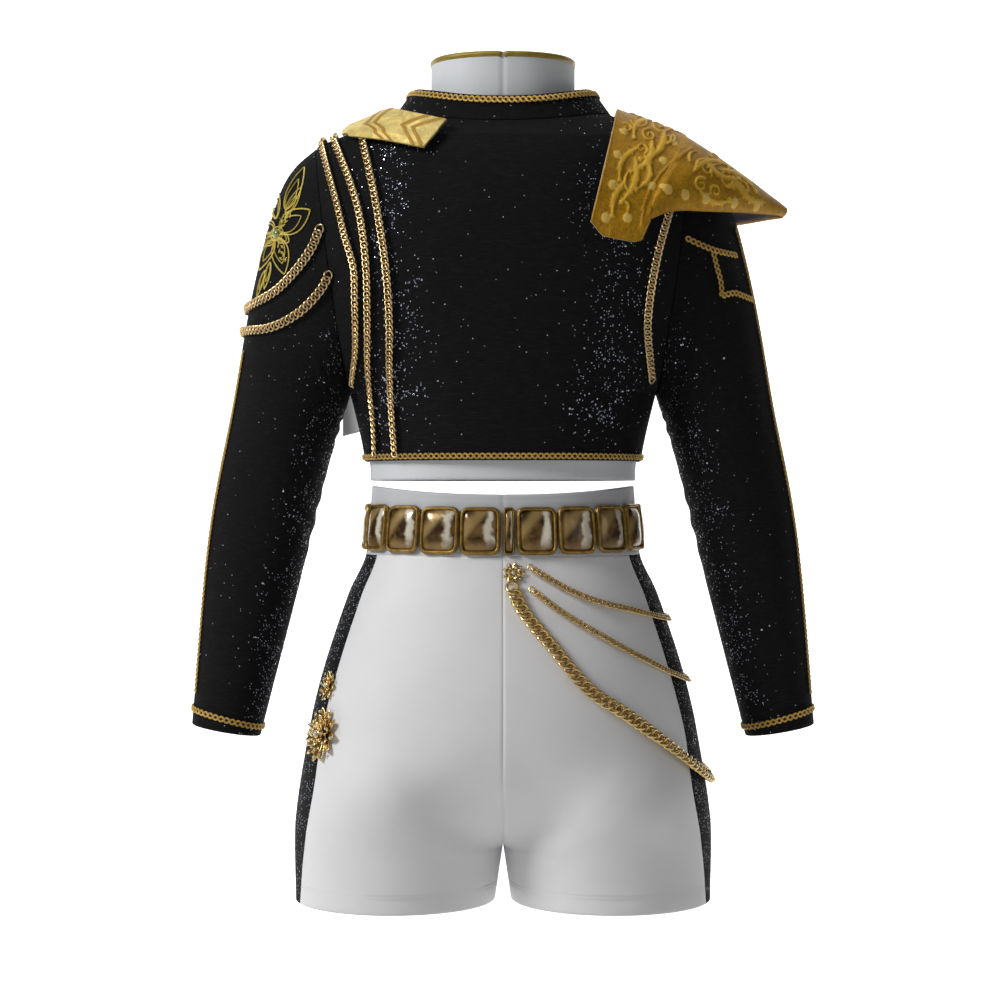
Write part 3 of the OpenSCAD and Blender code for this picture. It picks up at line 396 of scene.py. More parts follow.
# ---- Mesh building ----
class Bag:
    """Collects vertices and faces, in mm, and turns them into one object."""

    def __init__(self):
        self.points, self.quads, self.tris, self.uv4, self.uv3 = [], [], [], [], []
        self.marks, self.count = [], 0

    def add(self, points, quads=None, tris=None, uv=None, mark=None):
        points = np.asarray(points, float).reshape(-1, 3)
        uv = np.zeros((len(points), 2)) if uv is None else np.asarray(uv, float).reshape(-1, 2)
        if quads is not None and len(quads):
            quads = np.asarray(quads, int).reshape(-1, 4)
            self.quads.append(quads + self.count)
            self.uv4.append(uv[quads])
        if tris is not None and len(tris):
            tris = np.asarray(tris, int).reshape(-1, 3)
            self.tris.append(tris + self.count)
            self.uv3.append(uv[tris])
        self.marks.append(np.zeros(len(points)) if mark is None else np.ravel(mark))
        self.points.append(points)
        self.count += len(points)
        return self

    def build(self, name, material, smooth=True):
        mesh = bpy.data.meshes.new(name)
        points = np.concatenate(self.points) * MM
        q = np.concatenate(self.quads) if self.quads else np.zeros((0, 4), int)
        t = np.concatenate(self.tris) if self.tris else np.zeros((0, 3), int)
        loops = np.concatenate([q.ravel(), t.ravel()]).astype(np.int32)
        starts = np.concatenate([np.arange(len(q)) * 4, len(q) * 4 + np.arange(len(t)) * 3])
        mesh.vertices.add(len(points))
        mesh.vertices.foreach_set("co", points.astype(np.float32).ravel())
        mesh.loops.add(len(loops))
        mesh.loops.foreach_set("vertex_index", loops)
        mesh.polygons.add(len(starts))
        mesh.polygons.foreach_set("loop_start", starts.astype(np.int32))
        mesh.update(calc_edges=True)
        uv = [np.concatenate(part).reshape(-1, 2) for part in (self.uv4, self.uv3) if part]
        layer = mesh.uv_layers.new(name="uv")
        layer.data.foreach_set("uv", np.concatenate(uv).astype(np.float32).ravel())
        mark = mesh.attributes.new("mark", "FLOAT", "POINT")
        mark.data.foreach_set("value", np.concatenate(self.marks).astype(np.float32))
        mesh.polygons.foreach_set("use_smooth", np.full(len(starts), smooth))
        mesh.materials.append(material)
        obj = bpy.data.objects.new(name, mesh)
        bpy.context.scene.collection.objects.link(obj)
        return obj


def grid_quads(rows, cols, loop=False):
    i, j = np.meshgrid(np.arange(rows - 1), np.arange(cols if loop else cols - 1), indexing="ij")
    k = (j + 1) % cols
    return np.stack([i * cols + j, i * cols + k, (i + 1) * cols + k, (i + 1) * cols + j], -1).reshape(-1, 4)


def arc_uv(grid):
    """Lengths across and up a grid of points, in mm, so that weave keeps one scale."""
    across = np.linalg.norm(np.diff(grid, axis=1), axis=2)
    up = np.linalg.norm(np.diff(grid, axis=0), axis=2)
    u = np.concatenate([np.zeros((grid.shape[0], 1)), np.cumsum(across, axis=1)], axis=1)
    v = np.concatenate([np.zeros((1, grid.shape[1])), np.cumsum(up, axis=0)], axis=0)
    u -= u.mean(axis=1, keepdims=True)
    return np.stack([u, v], -1)


def slab(bag, outer, inner, loop=False, mark=None):
    """Closed cloth between two grids, columns to the right and rows up as seen from outside.

    Every rim is rounded, so that edges read as turned and pressed cloth."""
    rows, cols = outer.shape[:2]
    size = rows * cols
    uv = arc_uv(outer)
    quads = grid_quads(rows, cols, loop)
    points = [outer.reshape(-1, 3), inner.reshape(-1, 3)]
    uvs = [uv.reshape(-1, 2), uv.reshape(-1, 2)]
    faces = [quads, quads[:, ::-1] + size]
    at = np.arange(size).reshape(rows, cols)
    if loop:
        rings = [(at[0], at[1]), (at[-1][::-1], at[-2][::-1])]
    else:
        ring = np.concatenate([at[0, :-1], at[:-1, -1], at[-1, :0:-1], at[:0:-1, 0]])
        inside = np.clip(np.stack(np.unravel_index(ring, (rows, cols)), -1), 1, [rows - 2, cols - 2])
        rings = [(ring, at[inside[:, 0], inside[:, 1]])]
    flat_outer, flat_inner = points[0], points[1]
    base = 2 * size
    for ring, inside in rings:
        middle = (flat_outer[ring] + flat_inner[ring]) / 2
        half = np.linalg.norm(flat_outer[ring] - flat_inner[ring], axis=1, keepdims=True) / 2
        middle = middle + unit(flat_outer[ring] - flat_outer[inside]) * half * 0.8
        k, n = np.arange(len(ring)), np.roll(np.arange(len(ring)), -1)
        points.append(middle)
        uvs.append(uvs[0][ring])
        faces.append(np.stack([ring[n], ring[k], base + k, base + n], -1))
        faces.append(np.stack([base + n, base + k, size + ring[k], size + ring[n]], -1))
        base += len(ring)
    count = sum(len(p) for p in points)
    marks = np.zeros(count)
    if mark is not None:
        marks[:size] = np.ravel(mark)
    bag.add(np.concatenate(points), np.concatenate(faces), uv=np.concatenate(uvs), mark=marks)
    return bag


def frames(path, normals, closed=False):
    if closed:
        along = unit(np.roll(path, -1, 0) - np.roll(path, 1, 0))
    else:
        along = unit(np.gradient(path, axis=0))
    up = unit(normals - (normals * along).sum(1, keepdims=True) * along)
    return along, np.cross(along, up), up


def ring_quads(spans, count, sides):
    """Faces between count rings of points, over the given number of spans."""
    i, j = np.meshgrid(np.arange(spans), np.arange(sides), indexing="ij")
    k, m = (j + 1) % sides, (i + 1) % count
    return np.stack([i * sides + j, m * sides + j, m * sides + k, i * sides + k], -1).reshape(-1, 4)


def tube(bag, path, normals, w, h, sides=8, closed=False, lift=0.0, round_=False, mark=0.0):
    """Strand along a path. Its foot is on the path, or its middle with round_."""
    path = np.asarray(path, float)
    n = len(path)
    _, side, up = frames(path, np.broadcast_to(normals, path.shape), closed)
    w = np.broadcast_to(np.asarray(w, float), (n,))[:, None, None]
    h = np.broadcast_to(np.asarray(h, float), (n,))[:, None, None]
    q = 360 * np.arange(sides) / sides
    foot = 0 if round_ else 1
    ring = (
        (path + lift * up)[:, None]
        + up[:, None] * (h / 2) * (foot + cos(q))[None, :, None]
        + side[:, None] * (w / 2) * sin(q)[None, :, None]
    )
    quads = ring_quads(n if closed else n - 1, n, sides)
    length = np.concatenate([[0], np.cumsum(np.linalg.norm(np.diff(path, axis=0), axis=1))])
    uv = np.stack(np.broadcast_arrays(length[:, None], q[None, :] / 360 * 4), -1)
    points, tris = ring.reshape(-1, 3), []
    uv = uv.reshape(-1, 2)
    if not closed:
        rise_by = lift + foot * np.array([h[0, 0, 0], h[-1, 0, 0]])[:, None] / 2
        ends = np.stack([path[0], path[-1]]) + rise_by * up[[0, -1]]
        points = np.concatenate([points, ends])
        uv = np.concatenate([uv, uv[[0, -1]]])
        a, last = np.arange(sides), (n - 1) * sides
        b = (a + 1) % sides
        tris = np.concatenate([
            np.stack([np.full(sides, n * sides), a, b], -1),
            np.stack([np.full(sides, n * sides + 1), last + b, last + a], -1),
        ])
    bag.add(points, quads, tris, uv=uv, mark=np.full(len(points), mark))
    return bag


def evenly(path, normals, step, closed=False):
    """The path again with points an equal distance apart, near step."""
    if closed:
        path, normals = np.concatenate([path, path[:1]]), np.concatenate([normals, normals[:1]])
    along = np.concatenate([[0], np.cumsum(np.linalg.norm(np.diff(path, axis=0), axis=1))])
    count = max(int(round(along[-1] / step)), 2)
    at = np.linspace(0, along[-1], count + 1)
    if closed:
        at = at[:-1]
    pick = lambda values: np.stack([np.interp(at, along, values[:, k]) for k in range(3)], -1)
    return pick(path), unit(pick(normals))


def curb_chain(bag, path, normals, width, wire, pitch):
    """Curb chain of twisted oval links that lie flat on the path."""
    path, normals = evenly(path, normals, pitch)
    along, side, up = frames(path, normals)
    turns, sides, twist = 20, 6, 30
    a = np.arange(turns) * 360 / turns
    half = pitch * 0.80
    reach = width / 2 - wire / 2
    swing = twist * cos(a)
    centre = np.stack([half * cos(a), reach * sin(a) * cos(swing), reach * sin(a) * sin(swing)], -1)
    tangent = unit(np.roll(centre, -1, 0) - np.roll(centre, 1, 0))
    outward = np.stack([cos(a), sin(a) * cos(swing), sin(a) * sin(swing)], -1)
    outward = unit(outward - (outward * tangent).sum(1, keepdims=True) * tangent)
    third = np.cross(tangent, outward)
    q = np.arange(sides) * 360 / sides
    link = (
        centre[:, None] + (wire / 2) * (outward[:, None] * cos(q)[None, :, None]
                                        + third[:, None] * sin(q)[None, :, None])
    ).reshape(-1, 3)
    quads = ring_quads(turns, turns, sides)
    height = reach * 0.5 + wire / 2
    tilt = 20
    base = np.stack([
        link[:, 0], link[:, 1] * cos(tilt) - link[:, 2] * sin(tilt),
        link[:, 1] * sin(tilt) + link[:, 2] * cos(tilt) + height,
    ], -1)
    points = (
        path[:, None] + along[:, None] * base[None, :, :1] + side[:, None] * base[None, :, 1:2]
        + up[:, None] * base[None, :, 2:3]
    )
    count = len(base)
    offsets = (np.arange(len(path)) * count)[:, None, None]
    bag.add(points.reshape(-1, 3), (quads[None] + offsets).reshape(-1, 4))
    return bag


EYE_POINTS = 14  # points along a braid's cord from one eye to the next


def gimp(bag, path, normals, width, height=1.5, closed=False, period=5.0):
    """Looped braid: two cords that cross in a row of eyes, over a narrow darker base."""
    path, normals = evenly(path, normals, period / EYE_POINTS, closed)
    _, side, up = frames(path, normals, closed)
    turns = len(path) / EYE_POINTS
    if closed:
        turns = 2 * round(turns / 2)
    a = np.arange(len(path)) * 180 * turns / len(path)
    cord_w = width * 0.29
    for hand in (-1, 1):
        line = path + side * (hand * (width - cord_w) / 2 * spow(sin(a), 0.8))[:, None]
        line = line + up * (0.3 + 0.3 * hand * cos(a))[:, None]
        tube(bag, line, up, cord_w, height * 0.8, sides=7, closed=closed, mark=1.0)
    step = slice(None, None, 4)
    tube(bag, path[step], up[step], width * 0.8, height * 0.22, sides=6, closed=closed)
    return bag


# ---- Materials ----
class Look:
    """A procedural material: a Principled shader and small helpers to drive it."""

    def __init__(self, name, base, rough, metal=0.0, **sockets):
        self.mat = bpy.data.materials.new(name)
        self.mat.use_nodes = True
        self.tree = self.mat.node_tree
        self.shader = self.tree.nodes["Principled BSDF"]
        self.uv = self.add("ShaderNodeUVMap").outputs[0]
        place = self.add("ShaderNodeTexCoord")
        self.place = place.outputs["Object"]
        split = self.add("ShaderNodeSeparateXYZ", Vector=self.uv)
        self.u, self.v = split.outputs[0], split.outputs[1]
        self.set("Base Color", (*base, 1) if isinstance(base, tuple) else base)
        self.set("Roughness", rough)
        self.set("Metallic", metal)
        for key, value in sockets.items():
            self.set(key.replace("_", " "), value)

    def set(self, socket, value):
        self.join(self.shader.inputs[socket], value)
        return self

    def join(self, socket, value):
        if isinstance(value, bpy.types.NodeSocket):
            self.tree.links.new(value, socket)
        else:
            socket.default_value = value

    def add(self, kind, props=None, **inputs):
        node = self.tree.nodes.new(kind)
        for key, value in (props or {}).items():
            setattr(node, key, value)
        for key, value in inputs.items():
            self.join(node.inputs[key.replace("_", " ")], value)
        return node

    def math(self, what, a, b=0.0, c=0.0, clamp=False):
        node = self.add("ShaderNodeMath", {"operation": what, "use_clamp": clamp})
        for socket, value in zip(node.inputs, (a, b, c)):
            self.join(socket, value)
        return node.outputs[0]

    def wave(self, coord, period):
        return self.math("SINE", self.math("MULTIPLY", coord, 2 * math.pi / period))

    def mark(self):
        return self.add("ShaderNodeAttribute", {"attribute_name": "mark"}).outputs["Fac"]

    def noise(self, size, detail=3.0, rough=0.55, on_uv=False, distort=0.0):
        """Noise with features near size, in mm."""
        coord = self.uv if on_uv else self.place
        scale = 1 / size if on_uv else 1 / (size * MM)
        node = self.add(
            "ShaderNodeTexNoise", Vector=coord, Scale=scale, Detail=detail, Roughness=rough,
            Distortion=distort,
        )
        return node.outputs[0]

    def blend(self, factor, a, b, how="MIX"):
        node = self.add("ShaderNodeMix", {"data_type": "RGBA", "blend_type": how})
        self.join(node.inputs[0], factor)
        self.join(node.inputs[6], (*a, 1) if isinstance(a, tuple) else a)
        self.join(node.inputs[7], (*b, 1) if isinstance(b, tuple) else b)
        return node.outputs[2]

    def ranged(self, value, low, high, a=0.0, b=1.0):
        node = self.add("ShaderNodeMapRange", {"interpolation_type": "SMOOTHSTEP"})
        for socket, v in zip(node.inputs, (value, low, high, a, b)):
            self.join(socket, v)
        return node.outputs[0]

    def bump(self, height, depth, strength=1.0):
        """Bump of the given depth in mm for a height between 0 and 1."""
        node = self.add("ShaderNodeBump", Strength=strength, Distance=depth * MM, Height=height)
        self.set("Normal", node.outputs[0])
        return self


def woven(look, across, up, fuzz=0.0):
    """Height of a plain weave with the given thread spacing."""
    a = look.wave(look.u, across)
    b = look.wave(look.v, up)
    threads = look.math("MULTIPLY_ADD", look.math("MULTIPLY", a, b), 0.5, 0.5)
    if not fuzz:
        return threads
    return look.math("MULTIPLY_ADD", look.noise(fuzz, 2.0, on_uv=True), 0.6, threads)


def make_black_knit():
    look = Look("black_knit", (0.010, 0.010, 0.011), 0.78, Specular_IOR_Level=0.1, Sheen_Weight=0.0)
    rib = look.math("MULTIPLY_ADD", look.wave(look.v, 2.1), 0.5, 0.5)
    drift = look.add("ShaderNodeMapping", Vector=look.uv, Scale=(0.09, 0.75, 1.0))
    slub = look.add("ShaderNodeTexNoise", Vector=drift.outputs[0], Scale=1.0, Detail=4.0, Roughness=0.7)
    slub = look.ranged(slub.outputs[0], 0.42, 0.72)
    tone = look.blend(look.math("MULTIPLY", slub, rib), (0.006, 0.006, 0.0065), (0.018, 0.018, 0.020))
    # Dots of bright blue-white base colour, thicker where mark is high: painted glints of the sequins.
    cell = look.add(
        "ShaderNodeTexVoronoi", {"voronoi_dimensions": "2D"}, Vector=look.uv, Scale=0.5, Randomness=1.0
    )
    chance = look.add("ShaderNodeSeparateColor", Color=cell.outputs["Color"])
    dense = look.math("MULTIPLY_ADD", look.mark(), -0.34, 0.994)
    lit = look.math("GREATER_THAN", chance.outputs[0], dense)
    dot = look.math("LESS_THAN", cell.outputs["Distance"], 0.24)
    painted_glint = look.math("MULTIPLY", lit, dot)
    # Colour of the painted glints, from blue-grey to blue-white.
    shade = look.blend(chance.outputs[1], (0.10, 0.11, 0.15), (0.72, 0.78, 0.95))
    look.set("Base Color", look.blend(painted_glint, tone, shade))
    look.set("Roughness", look.math("MULTIPLY_ADD", painted_glint, -0.5, 0.78))
    height = look.math("ADD", look.math("MULTIPLY", rib, 0.5), woven(look, 1.1, 1.05, 2.0))
    return look.bump(height, 0.28, 0.8).mat


def make_cloth(name, base, rough, across, up, depth, sheen=0.2, shade=0.9, patch=60.0, **sockets):
    """Plain cloth with a weave, painted shade between its threads, slight unevenness of tone and a soft sheen."""
    look = Look(name, base, rough, Sheen_Weight=sheen, Sheen_Roughness=0.45, **sockets)
    darker = tuple(c * shade for c in base)
    threads = woven(look, across, up, across * 3)
    tone = look.blend(look.ranged(look.noise(patch), 0.35, 0.7), base, darker)
    # Low places of the weave are painted darker: painted shade between the threads.
    deep = tuple(c * 0.8 for c in base)
    look.set("Base Color", look.blend(look.ranged(threads, 0.75, 0.1, 0.0, 0.5), tone, deep))
    patchy_noise = look.math("MULTIPLY_ADD", look.noise(9.0), 0.14, rough - 0.07)
    look.set("Roughness", patchy_noise)
    return look.bump(threads, depth).mat


def make_gold(name, base, rough, metal=1.0, grain=1.2, depth=0.03, dark=0.55):
    """Metal or metal thread, a little worn, with darker patches placed by noise: painted shade meant for the hollows.
    """
    look = Look(name, base, rough, metal)
    patchy_noise = look.noise(grain * 6, 4.0, 0.65)
    # Darker where the noise is low: painted shade meant for the hollows, placed at random.
    tone = look.blend(look.ranged(patchy_noise, 0.35, 0.7), tuple(c * dark for c in base), base)
    look.set("Base Color", tone)
    look.set("Roughness", look.math("MULTIPLY_ADD", look.noise(grain * 2), 0.25, rough - 0.12))
    return look.bump(look.noise(grain, 2.0), depth).mat


def make_thread(name, bright, dark):
    """Gold braid: cords twisted from fine threads, where mark is 1, on a dark base."""
    mid = tuple((a + b) / 2 for a, b in zip(bright, dark))
    look = Look(name, bright, 0.42, 0.55, Sheen_Weight=0.15)
    cord = look.mark()
    ply = look.wave(look.math("ADD", look.u, look.math("MULTIPLY", look.v, 0.4)), 0.75)
    ply = look.math("MULTIPLY_ADD", ply, 0.5, 0.5)
    # Crests of the twist are bright and the grooves between plies mid gold: painted highlight and painted shade of
    # the twist.
    tone = look.blend(ply, mid, bright)
    tone = look.blend(look.ranged(look.noise(7.0), 0.3, 0.75, 0.0, 0.3), tone, mid)
    look.set("Base Color", look.blend(cord, dark, tone))
    look.set("Roughness", look.math("MULTIPLY_ADD", look.noise(1.5), 0.3, 0.28))
    return look.bump(ply, 0.16).mat


def make_brocade(name, ground, raised, dots, rough, metal, fine_mix=0.3):
    """Woven gold brocade: mark 1 is the raised figure and mark 2 a padded dot."""
    look = Look(name, ground, rough, metal, Sheen_Weight=0.0, Specular_IOR_Level=0.25)
    twill = look.math("MULTIPLY_ADD", look.wave(look.math("ADD", look.u, look.v), 0.95), 0.5, 0.5)
    cloudy = look.ranged(look.noise(14.0, 5.0, 0.7, distort=0.8), 0.38, 0.66)
    fine = look.ranged(look.noise(2.2, 3.0, 0.7), 0.4, 0.65)
    tone = look.blend(cloudy, tuple(c * 0.62 for c in ground), ground)
    tone = look.blend(look.math("MULTIPLY", fine, fine_mix), tone, raised)
    figure = look.ranged(look.mark(), 0.15, 0.95)
    tone = look.blend(figure, tone, raised)
    tone = look.blend(look.ranged(look.mark(), 1.2, 1.8), tone, dots)
    look.set("Base Color", look.blend(look.math("MULTIPLY", twill, 0.22), tone, tuple(c * 0.45 for c in ground)))
    look.set("Roughness", look.math("MULTIPLY_ADD", fine, 0.16, rough - 0.08))
    height = look.math("ADD", look.math("MULTIPLY", twill, 0.5), fine)
    return look.bump(height, 0.14).mat


def make_cabochon():
    """Foiled glass stone: brown gold, with a painted reflection of the light: a cream stripe down its right side, a
    lighter diagonal band at its upper left and a mid brown low down.
    """
    look = Look(
        "foiled_glass", (0.2, 0.12, 0.04), 0.2, 0.3, Coat_Weight=0.35, Coat_Roughness=0.16, Specular_IOR_Level=0.4
    )
    warp = look.math("SUBTRACT", look.noise(12.0, 2.0, 0.5), 0.5)
    x = look.math("ADD", look.u, look.math("MULTIPLY", warp, 0.9))
    y = look.math("ADD", look.v, look.math("MULTIPLY", warp, 0.5))
    # A cream stripe down the right side, fading out low down: painted reflection of the light.
    painted_reflection = look.math("MULTIPLY", look.ranged(x, 0.22, 0.5), look.ranged(x, 0.86, 0.66))
    painted_reflection = look.math("MULTIPLY", painted_reflection, look.ranged(y, -0.95, -0.3))
    # A lighter diagonal band at the upper left: painted highlight.
    cross = look.math("ADD", x, look.math("MULTIPLY", y, -1.0))
    left = look.math("MULTIPLY", look.ranged(cross, -1.5, -0.9), look.ranged(cross, -0.2, -0.7))
    # The lower part is blended towards a mid brown: part of the painted reflection.
    low = look.ranged(y, -0.35, -0.8)
    tone = look.blend(look.ranged(warp, -0.12, 0.14), (0.045, 0.022, 0.006), (0.20, 0.115, 0.035))
    tone = look.blend(look.math("MULTIPLY", left, 0.75), tone, (0.46, 0.31, 0.12))
    tone = look.blend(look.math("MULTIPLY", low, 0.5), tone, (0.30, 0.17, 0.04))
    tone = look.blend(painted_reflection, tone, (0.86, 0.78, 0.62))
    look.set("Base Color", tone)
    look.set("Roughness", look.math("MULTIPLY_ADD", look.noise(3.0), 0.12, 0.16))
    return look.bump(look.noise(9.0, 2.0), 0.25).mat


BLACK = make_black_knit()
SPANDEX = make_cloth("white_spandex", (0.80, 0.80, 0.81), 0.52, 0.62, 0.55, 0.05, sheen=0.25, shade=0.965)
KNIT = make_cloth("white_knit", (0.70, 0.72, 0.74), 0.6, 0.8, 1.0, 0.09, sheen=0.25, shade=0.95)
BAND = make_cloth("white_band", (0.56, 0.57, 0.59), 0.58, 0.9, 0.9, 0.08, sheen=0.2, shade=0.94)
ELASTIC = make_cloth("white_elastic", (0.72, 0.72, 0.70), 0.7, 1.6, 0.9, 0.3, sheen=0.1)
LINING = make_cloth("grey_lining", (0.50, 0.45, 0.49), 0.42, 0.5, 0.5, 0.04, sheen=0.4)
PALE_LINING = make_cloth("pale_lining", (0.55, 0.56, 0.58), 0.45, 0.5, 0.5, 0.04, sheen=0.3)
CANVAS = make_cloth("stiff_canvas", (0.62, 0.60, 0.52), 0.85, 1.4, 1.4, 0.25, sheen=0.1)
SATIN = make_cloth(
    "gold_satin", (0.36, 0.26, 0.03), 0.34, 0.45, 0.45, 0.05, sheen=0.1, shade=0.7, patch=14.0, Metallic=0.45
)
BRAID = make_thread("gold_braid", (0.92, 0.60, 0.13), (0.10, 0.035, 0.004))
EMBROIDERY = make_thread("gold_embroidery", (0.88, 0.70, 0.12), (0.14, 0.08, 0.005))
CHAIN = make_gold("gold_chain", (0.95, 0.70, 0.36), 0.30, dark=0.72)
JEWEL_GOLD = make_gold("jewel_gold", (0.95, 0.68, 0.28), 0.24, grain=0.9, depth=0.05, dark=0.66)
RIM = make_gold("rim_gold", (0.44, 0.27, 0.065), 0.4, metal=0.8, grain=1.0, depth=0.12, dark=0.5)
STEEL = make_gold("zip_metal", (0.62, 0.62, 0.64), 0.32, grain=1.0)
CAPE = make_brocade("gold_brocade", (0.56, 0.27, 0.003), (0.84, 0.50, 0.045), (0.84, 0.56, 0.13), 0.5, 0.25)
PALE = make_brocade(
    "pale_gold_brocade", (0.96, 0.74, 0.24), (0.40, 0.20, 0.008), (0.7, 0.5, 0.1), 0.45, 0.15, fine_mix=0.06
)
STONE = make_cabochon()


def make_glass(name, base):
    look = Look(name, base, 0.05, 0.0, Coat_Weight=0.6, IOR=1.6, Specular_IOR_Level=0.8)
    deep = look.ranged(look.noise(3.0, 2.0), 0.35, 0.65)
    look.set("Base Color", look.blend(deep, tuple(c * 0.45 for c in base), base))
    return look.bump(look.noise(1.6, 1.0), 0.05).mat


CRYSTAL = make_glass("clear_crystal", (0.88, 0.80, 0.62))
GREEN_STONE = make_glass("green_gold_stone", (0.22, 0.30, 0.05))
SEQUIN = make_gold("sequin", (0.62, 0.66, 0.78), 0.16, metal=0.9, grain=0.8, depth=0.02, dark=0.35)


# ---- Placing pieces on their bodies, hiding the CAD nodes they stand for, and measuring cloth ----
SHORTS_BODY = "shorts"


def on(obj, body, slot, *nodes):
    """Rides on a body and stands for CAD nodes, which it hides; its slot is not used."""
    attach(obj, body)
    if nodes:
        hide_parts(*nodes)
    return obj


def on_sleeve(obj, side, slot, *nodes):
    """Cloth and trims of a sleeve, with their transform baked in and the CAD nodes they stand for hidden."""
    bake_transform(obj)
    if nodes:
        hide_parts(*nodes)
    return obj


def cloth_size(obj):
    mesh = obj.data
    area = np.zeros(len(mesh.polygons))
    mesh.polygons.foreach_get("area", area)
    return area.sum() / 2


def cut(obj, grid, stretch=1.0):
    """Works out the size of cloth cut to its grid, smaller where it is worn stretched; the result is not kept."""
    width = round(np.linalg.norm(np.diff(grid, axis=1), axis=2).sum(1).max() * MM / stretch, 3)
    length = round(np.linalg.norm(np.diff(grid, axis=0), axis=2).sum(0).max() * MM / stretch, 3)
    area = min(cloth_size(obj) / stretch ** 2, width * length)
    return obj


# ---- Jacket body ----
def jacket_grid(gs, vs):
    g, v = np.meshgrid(gs, vs)
    p, n = jacket(g, v), jacket_n(g, v)
    near = 0.16
    above, below = jacket(g, v + near), jacket(g, np.maximum(v - near * 0.5, 0))
    sag = 0.32 * np.maximum(1 - np.abs(v - 2) / near, 0) ** 2 * clamp01((1 - np.abs(1 - g)) * 6)
    p = mix(p, mix(below, above, 0.5), sag[..., None])
    return p, n


def sparkle_bands(p):
    """How thick the sequins and the painted glints in the knit lie: two bands beside the shoulder blades and one by
    the collar.
    """
    x, z = p[..., 0], p[..., 2]
    left = np.exp(-((x + 96 + 8 * np.sin(z / 31)) / 20) ** 2)
    right = np.exp(-((x - 92 + 9 * np.sin(z / 37)) / 26) ** 2) * clamp01((300 - z) / 60)
    neck = 0.8 * np.exp(-((x - 62) / 30) ** 2 - ((z - 348) / 13) ** 2)
    clumps = 0.45 + 0.55 * wobble(p, 11.0, 2.0)
    return clamp01((left + right) * clumps * clamp01((z - 30) / 60) + neck)


V_ROWS = np.concatenate([np.linspace(0, 1, 22), np.linspace(1, 2, 90)[1:], np.linspace(2, 3, 22)[1:]])


def body_cloth(name, gs, nodes, mirror=False):
    outer, n = jacket_grid(gs, V_ROWS)
    inner = outer - CLOTH * n
    mark = sparkle_bands(outer)
    if mirror:
        (outer, inner), mark = mirror_grids(outer, inner), mark[:, ::-1]
    obj = slab(Bag(), outer, inner, mark=mark).build(name, BLACK)
    on(obj, "top", "black_sequin", *nodes)
    return cut(obj, outer, stretch=1.05)


body_cloth("jacket_back", np.linspace(-1, 1, 111), ["back_panel"])
body_cloth("jacket_front_right", np.linspace(1.008, 1.997, 56), ["front_panel_right"])
body_cloth("jacket_front_left", np.linspace(1.008, 1.997, 56), ["front_panel_left"], mirror=True)

t, s = np.meshgrid(np.linspace(0, 360, 181)[:-1], np.linspace(0, 1, 22))
outer = collar_pt(t, s)
obj = slab(Bag(), outer, outer - CLOTH * flat_out(t), loop=True, mark=sparkle_bands(outer))
obj = obj.build("stand_collar_cloth", BLACK)
on(obj, "top", "black_sequin", "stand_collar")
cut(obj, closed_grid(outer))

# ---- Under-top, its high neck and the bound edge ----
def seam_dent(t, width=1.6):
    """Depth of the sewn centre-back seam at turn t of a neck ring."""
    away = np.minimum(t, 360 - t)
    return 0.55 * np.exp(-(away / width) ** 2)


def high_neck(t, s):
    return inner_pt(t, mix(INNER_FOOT, INNER_Z, s), seam_dent(t))


t_ring = np.unique(np.concatenate([np.arange(0, 360, 3.0), np.linspace(0, 6, 13), np.linspace(354, 359.5, 12)]))
t_grid, s_grid = np.meshgrid(t_ring, np.linspace(0, 1, 24))
outer = high_neck(t_grid, s_grid)
neck_piece = slab(Bag(), outer, outer - UNDER_CLOTH * flat_out(t_grid), loop=True).build("high_neck", KNIT)
on(neck_piece, "top", "white_knit", "inner_collar")
neck_grid = closed_grid(outer)


def under_grid(gs, skin):
    def wrap(g, v, out):
        side = g > 2
        p = out(np.where(side, 4 - g, g), v)
        return np.where(side[..., None], flip_x(p), p)

    hem = wrap(gs, np.zeros_like(gs), jacket) - (skin + 0.5) * wrap(gs, np.zeros_like(gs), jacket_n)
    rows = []
    for z in np.linspace(UNDER_Z, UNDER_Z + 10, 5):
        foot = hem.copy()
        foot[:, 2] = z
        rows.append(foot)
    for v in np.concatenate([np.linspace(0.2, 0.9, 7), np.linspace(1.05, 1.95, 26), np.linspace(2.1, 2.9, 9)]):
        level = np.full_like(gs, v)
        rows.append(wrap(gs, level, jacket) - skin * wrap(gs, level, jacket_n))
    rows.append(inner_pt(gs * 90, INNER_FOOT - 0.6, skin - UNDER_GAP))
    return np.stack(rows)


for name, node, low, high in (
    ("under_top_rear", "under_top_back", -0.988, 0.988), ("under_top_chest", "under_top_front", 1.012, 2.988)
):
    gs = np.linspace(low, high, 91)
    outer = under_grid(gs, UNDER_GAP)
    obj = slab(Bag(), outer, under_grid(gs, UNDER_GAP + UNDER_CLOTH)).build(name, KNIT)
    on(obj, "top", "white_knit", node)
    cut(obj, outer, stretch=1.1)

turns = np.linspace(0.7, 359.3, 220)
ring = inner_pt(turns, INNER_Z - 1.3, UNDER_CLOTH / 2)
ring[:, 2] -= 0.9 * np.exp(-(np.minimum(turns, 360 - turns) / 2.0) ** 2)
bag = tube(Bag(), ring, flat_out(turns), 5.6, 3.4, sides=14, round_=True)
on(bag.build("bound_neck_edge", SATIN), "top", "gold_binding", "collar_binding")

